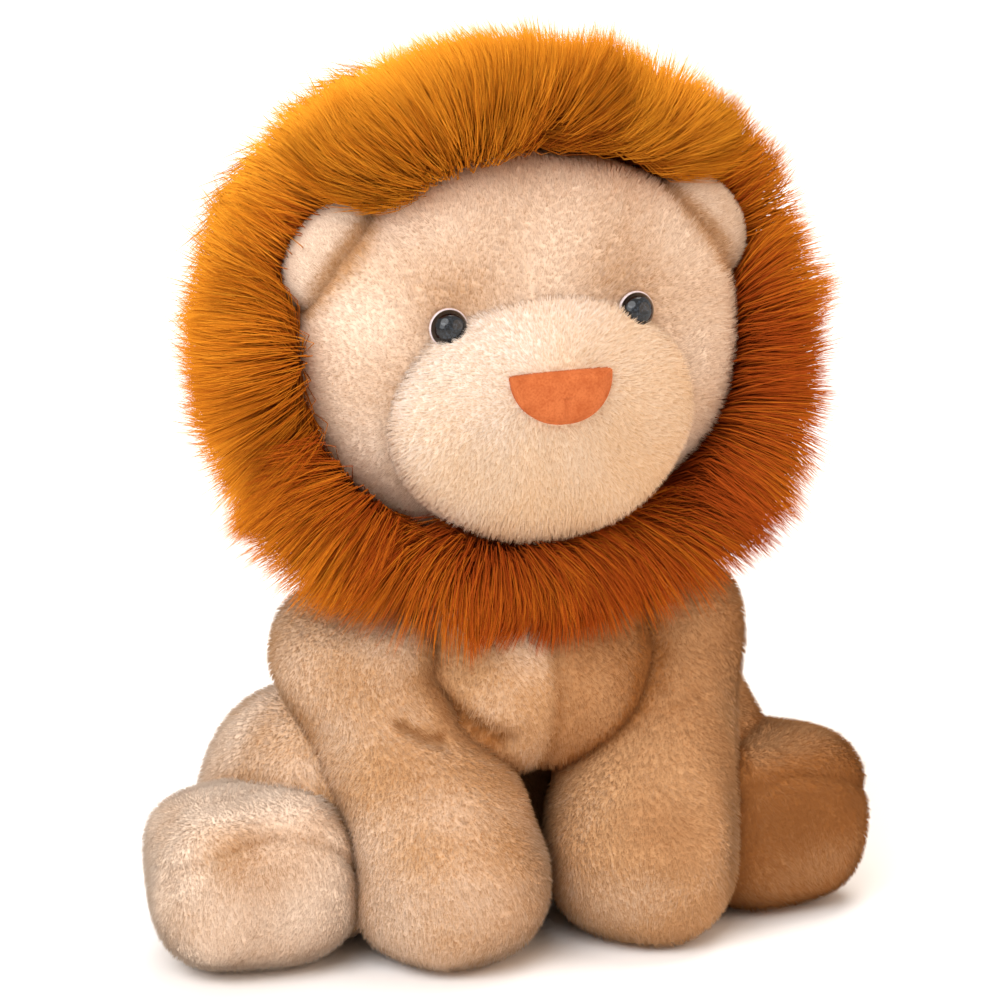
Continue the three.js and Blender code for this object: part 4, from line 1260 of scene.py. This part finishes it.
class LION_OT_mane(bpy.types.Operator):
    """Makes the mane: a ring of long pile round the face, closed behind the head"""

    bl_idname = "lion.mane"
    bl_label = "Mane"

    def execute(self, context):
        sizes, pile, colours = settings()
        tips = tuple(colours.mane_dark), tuple(colours.mane_middle), tuple(colours.mane_light)
        roots = dyed(colours.mane_root_dark, colours.mane_root_light)
        material = pile_material("long_polyester_pile", tips, roots, 0.6, depth=0.95)
        backing = plush_material("brown_undercoat", roots[0], roots)
        depth = sizes.mane_back + sizes.mane_front
        outline = np.array(MANE_SHARES)[:, ::-1]
        rows = smooth_rows(outline, [depth, sizes.mane_half_width], 90, (True, True))
        forward, out = rows[:, 0], np.maximum(rows[:, 1], 0)
        grid = pushed(mane_shape(sizes, out, forward, turns(144)), soft_lumps(0.05, 1.2 * MM, 19))
        lean_left = 2.2 * MM
        grid[..., 0] += lean_left * np.clip((forward - 0.6) / 0.2, 0, 1)[:, None]
        ears = [ear_frame(sizes, hand) for hand in SIDES.values()]
        for place, turn in ears:
            grid[..., 1] += self.room(sizes, grid, place, turn)
        legs = [front_leg_form(sizes, hand, 0) for hand in SIDES.values()]
        grid = self.clear(sizes, grid, legs)
        fabric = skin("mane_backing", grid, backing)

        def outward_shares(points):
            """Across and up from the mane's middle, as shares of its half width and half height."""
            across = points[:, 0] / sizes.mane_half_width
            return across, (points[:, 2] - sizes.mane_z) / sizes.mane_half_height

        def forward_share(points):
            """How far along the mane's depth points lie, from its back to its front lip."""
            low = np.maximum(0, -outward_shares(points)[1])
            return (sizes.mane_back - points[:, 1] - sizes.mane_push * low**2) / depth

        def comb(points):
            across, high = outward_shares(points)
            forward = forward_share(points)
            radial = unit(placed(across, 0, high))
            backward = np.clip((0.92 - forward) / 0.35, 0, 1)[:, None]
            tangent = radial * (1 - backward) - AHEAD * backward
            behind = np.clip((0.4 - forward) / 0.3, 0, 1)[:, None]
            return tangent * (1 - behind) + (radial * 0.35 - UP) * behind

        def stance(points, normals):
            """Normals that lean in over the face half as much as the fabric's own."""
            across, high = outward_shares(points)
            radial = unit(placed(across, 0, high))
            inward = np.minimum((normals * radial).sum(1, keepdims=True), 0) * 0.5
            inward = inward * (forward_share(points) > 0.6)[:, None]
            return unit(normals - inward * radial)

        def tone(points):
            across, high = outward_shares(points)
            # Painted light and shade: lighter on top and towards the key light, darker low on the far side
            # and in the hollow round the face.
            right = np.clip(across, 0, 1) * np.clip(0.6 - high, 0, 1)
            inner = np.clip(0.76 - np.hypot(across, high), 0, 0.12)
            lit = 0.44 + 0.64 * high + 0.18 * np.clip(-across, 0, 1) - 0.26 * right
            lit_and_shaded = np.clip(lit - (4 + 1.6 * across + high) * inner, 0, 1.08)
            return lit_and_shaded * 0.85 + 0.06 + 0.12 * ripple(points, 0.03, 21)

        def lengths(points):
            across, high = outward_shares(points)
            out = np.hypot(across, high)
            shorter = 0.3 * np.clip(-high, 0, 1) + 0.07 * np.clip(high, 0, 1) + 0.12 * np.clip(across, 0, 1)
            aslant = (0.72 * np.abs(across) - 0.69 * high) / np.maximum(out, 0.1)
            longer = 0.3 * np.clip((aslant - 0.82) / 0.18, 0, 1)
            return np.clip(1.12 - 2.2 * (out - 0.68), 0.72, 1.12) * (1 - shorter + longer)

        def over_ear(spine):
            hit = np.zeros(spine.shape[1], bool)
            for place, turn in ears:
                local = (spine - place) @ turn
                wide = local[..., 0] / sizes.ear_half_width
                high = local[..., 2] / sizes.ear_length
                inside = (wide**2 + np.maximum(high, 0) ** 4 < 0.92) & (high > -0.2)
                hit |= (inside & (local[..., 1] < sizes.ear_half_thickness - 2 * MM)).any(0)
            return hit

        def over_face(points):
            """Ahead of the head's widest section and inside the opening for the face, but for the chin."""
            wide = points[..., 0] / sizes.face_half_width
            high = (points[..., 2] - sizes.face_z) / sizes.face_half_height
            chin = (points[..., 2] < sizes.chin_z) & (np.abs(points[..., 0]) < sizes.chin_half_width)
            return (wide**2 + high**2 < 1) & (points[..., 1] < -sizes.head_y + 0.006) & ~chin

        def buried(spine):
            in_muzzle = muzzle.holds(spine.reshape(-1, 3)).reshape(spine.shape[:2])
            apart = np.hypot(spine[..., 0], spine[..., 2] - sizes.mane_z)
            inward = (apart[1:].min(0) < apart[0] - 4 * MM) & (forward_share(spine[0]) > 0.6)
            in_face = (over_face(spine) | in_muzzle).any(0)
            return inward | over_ear(spine) | in_face | swept(spine[-1], legs, -2 * MM)

        head = head_form(sizes, 3 * MM)
        muzzle = muzzle_form(sizes, 0)
        torso = torso_form(sizes, 3 * MM)
        over_rim = (sizes.ear_length + 8 * MM) * UP
        rims = [(place, turn @ over_rim) for place, turn in ears]
        # Parts of the mane: how many of the locks it grows, and where it lies by its share forward
        regions = {
            "front_left": (1, lambda p, f: (f > 0.78) & (p[:, 0] > 0)),
            "front_right": (1, lambda p, f: (f > 0.78) & (p[:, 0] <= 0)),
            "sides": (0.87, lambda p, f: (f > 0.42) & (f <= 0.78)),
            "back": (0.72, lambda p, f: f <= 0.42),
        }
        dress(fabric, "head", "long_pile", "mane", fill=0.6)
        for index, (name, (part, region)) in enumerate(regions.items()):

            def weight(points):
                bare = region(points, forward_share(points)) & ~head.holds(points) & ~torso.holds(points)
                apart = np.min([np.linalg.norm(points - place - rim, axis=1) for place, rim in rims], axis=0)
                return bare * (1 + 1.6 * np.exp(-((apart / 0.016) ** 2)))

            size = (pile.mane_length, pile.mane_width / part)
            fur = grow_pile(
                f"mane_pile_{name}", fabric, int(part * pile.mane_count), comb, material, size, tone,
                steps=2, lift=(46, 3), clump=3.6 * MM, pull=0.15, swirl=15, droop=0.08, unrest=8, mix=0.44,
                weight=weight, lengths=lengths, drop=buried, stance=stance, seed=500 + index,
            )
            dress(fur, "head", "long_pile")
        return {"FINISHED"}

    def clear(self, sizes, grid, legs):
        """The grid drawn in towards its axis where the shoulders would meet it as the head turns."""
        flat = grid.reshape(-1, 3).copy()
        for _ in range(60):
            met = swept(flat, legs, 5 * MM)
            if not met.any():
                break
            inward = unit(np.array([0, 0, sizes.mane_z + 0.02]) - flat[met] * [1, 0, 1])
            flat[met] += inward * 1 * MM
        return flat.reshape(grid.shape)

    def room(self, sizes, grid, place, turn):
        """How far back the fabric gives way behind an ear, fading out over a centimetre round it."""
        local = (grid - place) @ turn
        wide = np.abs(local[..., 0]) - sizes.ear_half_width
        high = np.maximum(local[..., 2] - sizes.ear_length, -local[..., 2] - 5 * MM)
        outside = np.maximum(np.maximum(wide, high), 0)
        fade = np.exp(-((outside / (8 * MM)) ** 2))
        return np.maximum(place[1] + sizes.ear_half_thickness + 1 * MM - grid[..., 1], 0) * fade


class LION_OT_front_legs(bpy.types.Operator):
    """Makes the front legs: columns of short pile from the shoulders down to round paws"""

    bl_idname = "lion.front_legs"
    bl_label = "Front legs"

    def execute(self, context):
        sizes, pile, _ = settings()
        torso, whole_torso = torso_form(sizes, BURIED), torso_form(sizes, 0)
        leg_front_y = -0.058
        for side, hand in SIDES.items():
            # Painted shade: the far leg, on the lion's left, is darker than the near one.
            body = f"front_leg_{side}"
            shade = 0.47 - 0.08 * hand
            form = front_leg_form(sizes, hand, sizes.pile_depth)
            line = upright_line(LEG_FOLD, hand)
            deep = 3.2 * MM if side == "right" else 0.6 * MM

            def fold(points, width, depth, above=0.0):
                """A groove across the front of the leg, along the line or above it."""
                pressed = groove(points * [1, 0, 1], line + UP * above, width, depth)
                return pressed * (points[:, 1] < leg_front_y)

            grid = pushed(
                form.grid(112),
                soft_lumps(0.045, 0.9 * MM, 31 + hand),
                lambda p: fold(p, 2 * MM, deep),
                lambda p: fold(p, 6 * MM, -0.35 * deep, 9 * MM),
            )
            fabric = skin(f"{body}_fabric", stand(grid, sizes.ground_gap), nap_materials()[1])

            def comb(points):
                low = np.clip(1 - points[:, 2] / 0.03, 0, 1)
                return placed(0.2 * hand * low, -0.2 - 0.4 * low, -1)

            def tone(points):
                # Painted shade along the leg's fold and where the leg meets the torso.
                pressed = fold(points, 1.6 * MM, 120 * deep) - 0.25 * closeness(points, whole_torso, 5 * MM)
                # Painted light: paler towards the paw, and on the near shoulder that the mane shades.
                height = np.clip(0.16 * (1 - points[:, 2] / 0.06), -0.07, 1)
                painted_shoulder_light = 0.07 * (1 - hand) * np.clip((points[:, 2] - 0.07) / 0.04, 0, 1)
                return shade + height + painted_shoulder_light + 0.06 * ripple(points, 0.035, 35 + hand) + pressed

            more = {"weight": uncovered(torso), "floor": 0.0}
            fur = short_pile(f"{body}_pile", fabric, pile.front_leg_count, comb, tone, 600 + hand, **more)
            shoulder = JOINT_PLACES[f"{body}_swing"]
            bend = ("torso", body, shoulder + UP * 0.034, shoulder - UP * 0.012)
            dress_both(fabric, fur, bend, "short_pile", f"{body}_cover", f"{body}_filling", fill=0.8)
        return {"FINISHED"}


class LION_OT_hind_legs(bpy.types.Operator):
    """Makes the hind legs: plump thighs, each with a blunt foot that points forwards"""

    bl_idname = "lion.hind_legs"
    bl_label = "Hind legs"

    def execute(self, context):
        sizes, pile, _ = settings()
        torso = torso_form(sizes, BURIED)
        backing = nap_materials()[1]
        for side, hand in SIDES.items():
            body = f"hind_leg_{side}"
            # Painted shade: the far thigh and foot, on the lion's left, are darker than the near ones.
            thigh_shade, foot_shade = 0.63 - 0.17 * hand, 0.47 - 0.42 * hand
            thigh = thigh_form(sizes, hand, sizes.pile_depth)
            foot = foot_form(sizes, hand, sizes.pile_depth)
            leg, whole_leg = front_leg_form(sizes, hand, BURIED), front_leg_form(sizes, hand, 0)
            hip = JOINT_PLACES[f"{body}_splay"]
            bend = ("torso", body, hip, hip + [hand * 0.01, -0.022, 0])

            grid = pushed(thigh.grid(80), soft_lumps(0.05, 1.1 * MM, 41 + hand))
            fabric = skin(f"thigh_{side}_fabric", stand(grid, sizes.ground_gap), backing)
            inner_foot, whole_foot = foot_form(sizes, hand, 6 * MM), foot_form(sizes, hand, 0)

            def down(points):
                return np.array([0.3 * hand, -0.3, -1])

            rubbed = [hand * 0.083, -0.062, 0.067]

            def thigh_tone(points):
                # Painted shade where the thigh meets the front leg and the foot; the dent is a rubbed patch
                # of worn pile.
                beside = closeness(points, whole_leg) + closeness(points, whole_foot)
                pressed = dent(points, rubbed, 12 * MM, 0.28) - 0.15 * beside
                return thigh_shade + 0.08 * ripple(points, 0.03, 45 + hand) + pressed

            name, nodes = f"thigh_{side}_pile", (f"thigh_{side}_cover", f"thigh_{side}_filling")
            more = {"weight": uncovered(torso, inner_foot, leg), "floor": 0.0}
            fur = short_pile(name, fabric, pile.thigh_count, down, thigh_tone, 700 + hand, **more)
            dress_both(fabric, fur, bend, "short_pile", *nodes, fill=0.8)

            middle = hand * sizes.foot_x - sizes.feet_shift
            arc = upright_line(SOLE_SEAM, hand, middle)
            start_y = -sizes.foot_front + 0.35 * sizes.foot_length

            def sole_seam(points):
                flat = points * [1, 0, 1]
                return groove(flat, arc, 1.5 * MM, 1.5 * MM) * (points[:, 1] < start_y)

            worn = [middle + hand * 0.013, -sizes.foot_front + 5 * MM, 0.045]
            rub = 0.18 - 0.1 * hand

            def foot_tone(points):
                pressed = dent(points, worn, 14 * MM, rub) + 60 * sole_seam(points)
                # Painted highlight along the top of the foot; painted shade where it meets the front leg.
                edge = 0.24 * np.clip((points[:, 2] - 0.051) / 0.005, 0, 1)
                beside = 0.25 * closeness(points, whole_leg)
                return foot_shade + 0.07 * ripple(points, 0.03, 55 + hand) + pressed + edge - beside

            grid = pushed(foot.grid(88), soft_lumps(0.04, 1.0 * MM, 51 + hand), sole_seam)
            fabric = skin(f"hind_foot_{side}_fabric", stand(grid, sizes.ground_gap), backing)
            inner_thigh = thigh_form(sizes, hand, 6 * MM)

            def forwards(points):
                return np.array([0.35 * hand, -0.7, -0.7])

            name, nodes = f"hind_foot_{side}_pile", (f"hind_foot_{side}_cover", f"hind_foot_{side}_filling")
            more = {"weight": uncovered(torso, inner_thigh, leg), "floor": 0.0, "swirl": 38}
            fur = short_pile(name, fabric, pile.foot_count, forwards, foot_tone, 800 + hand, **more)
            dress_both(fabric, fur, body, "short_pile", *nodes, fill=0.8)
        return {"FINISHED"}


class LION_OT_tail(bpy.types.Operator):
    """Makes the tail: a thin stuffed tube that ends in a tuft of long pile"""

    bl_idname = "lion.tail"
    bl_label = "Tail"

    def execute(self, context):
        sizes, pile, _ = settings()
        end = TAIL_ROOT + [sizes.tail_reach_side, sizes.tail_reach_back, 0]
        end[2] = sizes.tail_radius
        corners = TAIL_ROOT + np.array(TAIL_SHARES) * (end - TAIL_ROOT)
        route = smooth_rows(corners, [1, 1, 1], 60)
        radius = sizes.tail_radius - sizes.pile_depth
        closing = np.sin(np.linspace(0, math.pi / 2, 8))
        girth = np.concatenate([closing, np.ones(len(route) - 16), closing[::-1]])
        route[:, 2] = np.maximum(route[:, 2], radius + sizes.ground_gap)
        grid, run = tube_along(route, girth * radius, 36)
        fabric = skin("tail_fabric", stand(grid, sizes.ground_gap), nap_materials()[1])
        torso = torso_form(sizes, 4 * MM)

        def comb(points):
            nearest = ((points[:, None] - route[None]) ** 2).sum(2).argmin(1)
            return run[nearest]

        def tone(points):
            return 0.58 + 0.08 * ripple(points, 0.04, 25)

        more = {"share": 0.8, "weight": lambda p: ~torso.holds(p), "floor": 0.0, "swirl": 20}
        fur = short_pile("tail_pile", fabric, pile.tail_count, comb, tone, 901, **more)
        bend = ("torso", "tail", TAIL_ROOT - [0, 0.012, 0], TAIL_ROOT + [0, 0.012, 0])
        dress_both(fabric, fur, bend, "short_pile", "tail", fill=0.7)

        rows = smooth_rows(TUFT_SHARES, [sizes.tuft_length, sizes.tuft_radius], 30, (True, True))
        core = 0.55 * sizes.tuft_radius
        line = end + run[-1] * (rows[:, :1] * sizes.tuft_length - 0.010)
        line[:, 2] = np.maximum(rows[:, 1] * core + 1.5 * MM, sizes.tail_radius * (1 - rows[:, 1]))
        grid, _ = tube_along(line, np.maximum(rows[:, 1], 0) * core, 32)
        long_pile = bpy.data.materials["long_polyester_pile"]
        undercoat = bpy.data.materials["brown_undercoat"]
        knot = skin("tail_tuft_backing", stand(grid, sizes.ground_gap), undercoat)
        locks = grow_pile(
            "tail_tuft_pile", knot, pile.tuft_count, lambda p: run[-1], long_pile,
            (0.6 * pile.mane_length, pile.mane_width), lambda p: 0.45 + 0.15 * ripple(p, 0.02, 23),
            steps=3, lift=(40, 2), clump=5 * MM, pull=0.6, swirl=10, floor=0.0, seed=902,
        )
        dress_both(knot, locks, "tail", "long_pile", "tail_tuft", fill=0.5)
        return {"FINISHED"}


def tube_along(route, radii, around):
    """A round tube of points along a route, and the route's directions.

    Each ring stands across the route, between the level direction beside it and the one square to both.
    """
    run = unit(np.gradient(route, axis=0))
    beside = unit(np.cross(UP, run))
    over = np.cross(run, beside)
    angle = turns(around)
    ring = np.cos(angle)[:, None, None] * beside + np.sin(angle)[:, None, None] * over
    return route[:, None] + ring.transpose(1, 0, 2) * radii[:, None, None], run


class LION_OT_stage(bpy.types.Operator):
    """Makes the studio: a pale floor, a soft key light from the camera's left, fill, top light and camera"""

    bl_idname = "lion.stage"
    bl_label = "Studio"

    def execute(self, context):
        scene = context.scene
        scene.view_settings.view_transform = "Standard"
        floor = self.floor(tuple(settings()[2].floor))
        self.sun("key", (-0.85, -0.75, 1.2), strength=1.8, shade=(0.96, 0.98, 1.0), degrees=45)
        self.sun("fill", (1.0, -1.0, 0.3), strength=1.2, shade=(1.0, 0.7, 0.48), degrees=70)
        self.sun("top", (0.25, 0.2, 1.0), strength=1.5, shade=(1.0, 0.94, 0.86), degrees=35)
        self.window((-0.62, -0.45, 0.50), size=0.45, power=1.7)
        self.surroundings(scene)
        self.camera(scene)
        return {"FINISHED"}

    def floor(self, shade):
        """A wide disc of matt paper under the lion."""
        radius, around, height = 6.0, 96, -0.3 * MM
        angle = turns(around)
        rim = placed(radius * np.cos(angle), radius * np.sin(angle), height)
        points = np.vstack([[0, 0, height], rim])
        beside = (np.arange(around) + 1) % around
        faces = placed(0, 1 + np.arange(around), 1 + beside)
        material, tree, shader = new_material("matt_paper_sweep")
        place = add_node(tree, "ShaderNodeTexCoord").outputs["Object"]
        fibre = add_node(tree, "ShaderNodeTexNoise", {"Vector": place, "Scale": 1 / (40 * MM)})
        faint = tuple(c * 0.985 for c in shade[:3]) + (1.0,)
        paper = add_node(tree, "ShaderNodeMix", {0: fibre.outputs[0], 6: shade, 7: faint}, data_type="RGBA")
        feed(tree, shader, {"Base Color": paper.outputs[2], "Roughness": 1.0, "Specular IOR Level": 0.0})
        return mesh_object("studio_floor", points, [faces], material, smooth=False)

    def sun(self, name, place, strength, shade, degrees):
        """A broad soft lamp that shines from a direction."""
        lamp = bpy.data.lights.new(name, "SUN")
        lamp.energy = strength
        lamp.color = shade
        lamp.angle = math.radians(degrees)
        holder = bpy.data.objects.new(name, lamp)
        holder.rotation_euler = Vector(place).to_track_quat("Z", "Y").to_euler()
        bpy.context.scene.collection.objects.link(holder)

    def window(self, place, size, power):
        """A square soft box near the lion, so that its light falls off across it."""
        lamp = bpy.data.lights.new("window", "AREA")
        lamp.size = size
        lamp.energy = power
        lamp.color = (0.92, 0.96, 1.0)
        holder = bpy.data.objects.new("window", lamp)
        holder.location = place
        holder.rotation_euler = (Vector(place) - Vector((0, 0, 0.12))).to_track_quat("Z", "Y").to_euler()
        bpy.context.scene.collection.objects.link(holder)

    def surroundings(self, scene):
        """A soft room, brighter overhead, and white where the camera or a reflection looks past the floor."""
        world = bpy.data.worlds.new("studio")
        world.use_nodes = True
        tree = world.node_tree
        back = tree.nodes["Background"]
        path = add_node(tree, "ShaderNodeLightPath")
        looks = {0: path.outputs["Is Camera Ray"], 1: path.outputs["Is Glossy Ray"]}
        seen = add_node(tree, "ShaderNodeMath", looks, operation="MAXIMUM")
        way = add_node(tree, "ShaderNodeTexCoord").outputs["Generated"]
        way = add_node(tree, "ShaderNodeSeparateXYZ", {0: way})
        height = add_node(tree, "ShaderNodeMapRange", {0: way.outputs[2], 1: -0.1, 2: 0.9})
        low, high = (0.42, 0.32, 0.24, 1), (0.82, 0.74, 0.65, 1)
        room = add_node(tree, "ShaderNodeMix", {0: height.outputs[0], 6: low, 7: high}, data_type="RGBA")
        either = {0: seen.outputs[0], 6: room.outputs[2], 7: (1, 1, 1, 1)}
        shade = add_node(tree, "ShaderNodeMix", either, data_type="RGBA")
        feed(tree, back, {"Color": shade.outputs[2]})
        scene.world = world

    def camera(self, scene):
        """A long lens, a little above and to the lion's right."""
        azimuth, elevation, distance = math.radians(-22), math.radians(15), 2.0
        target = Vector((0.0004, -0.040, 0.1365))
        back = Vector(
            (
                math.sin(azimuth) * math.cos(elevation),
                -math.cos(azimuth) * math.cos(elevation),
                math.sin(elevation),
            )
        )
        camera = bpy.data.objects.new("camera", bpy.data.cameras.new("camera"))
        camera.data.sensor_width = 36
        camera.data.lens = 225
        camera.location = target + back * distance
        camera.rotation_euler = back.to_track_quat("Z", "Y").to_euler()
        scene.collection.objects.link(camera)
        scene.camera = camera


class LION_PT_panel(bpy.types.Panel):
    """Lists the pieces of the lion"""

    bl_idname = "LION_PT_panel"
    bl_label = "Plush lion"
    bl_space_type = "VIEW_3D"
    bl_region_type = "UI"
    bl_category = "Plush lion"

    def draw(self, context):
        for operator in OPERATORS:
            self.layout.operator(operator.bl_idname)
        for group in (context.scene.lion_sizes, context.scene.lion_pile, context.scene.lion_colours):
            box = self.layout.box()
            for key in group.__annotations__:
                box.prop(group, key)


OPERATORS = (
    LION_OT_stage,
    LION_OT_torso,
    LION_OT_head,
    LION_OT_muzzle,
    LION_OT_nose,
    LION_OT_eyes,
    LION_OT_ears,
    LION_OT_mane,
    LION_OT_front_legs,
    LION_OT_hind_legs,
    LION_OT_tail,
)
CLASSES = (LionSizes, LionPile, LionColours, *OPERATORS, LION_PT_panel)


def register():
    """Registers the classes and hangs the properties on the scene."""
    for cls in CLASSES:
        bpy.utils.register_class(cls)
    bpy.types.Scene.lion_sizes = bpy.props.PointerProperty(type=LionSizes)
    bpy.types.Scene.lion_pile = bpy.props.PointerProperty(type=LionPile)
    bpy.types.Scene.lion_colours = bpy.props.PointerProperty(type=LionColours)


def unregister():
    """Takes the properties and the classes away again."""
    del bpy.types.Scene.lion_sizes, bpy.types.Scene.lion_pile, bpy.types.Scene.lion_colours
    for cls in reversed(CLASSES):
        bpy.utils.unregister_class(cls)


def main():
    """Makes the studio and every piece, in order."""
    register()
    for operator in OPERATORS:
        group, name = operator.bl_idname.split(".")
        getattr(getattr(bpy.ops, group), name)()


if __name__ == "__main__":
    main()
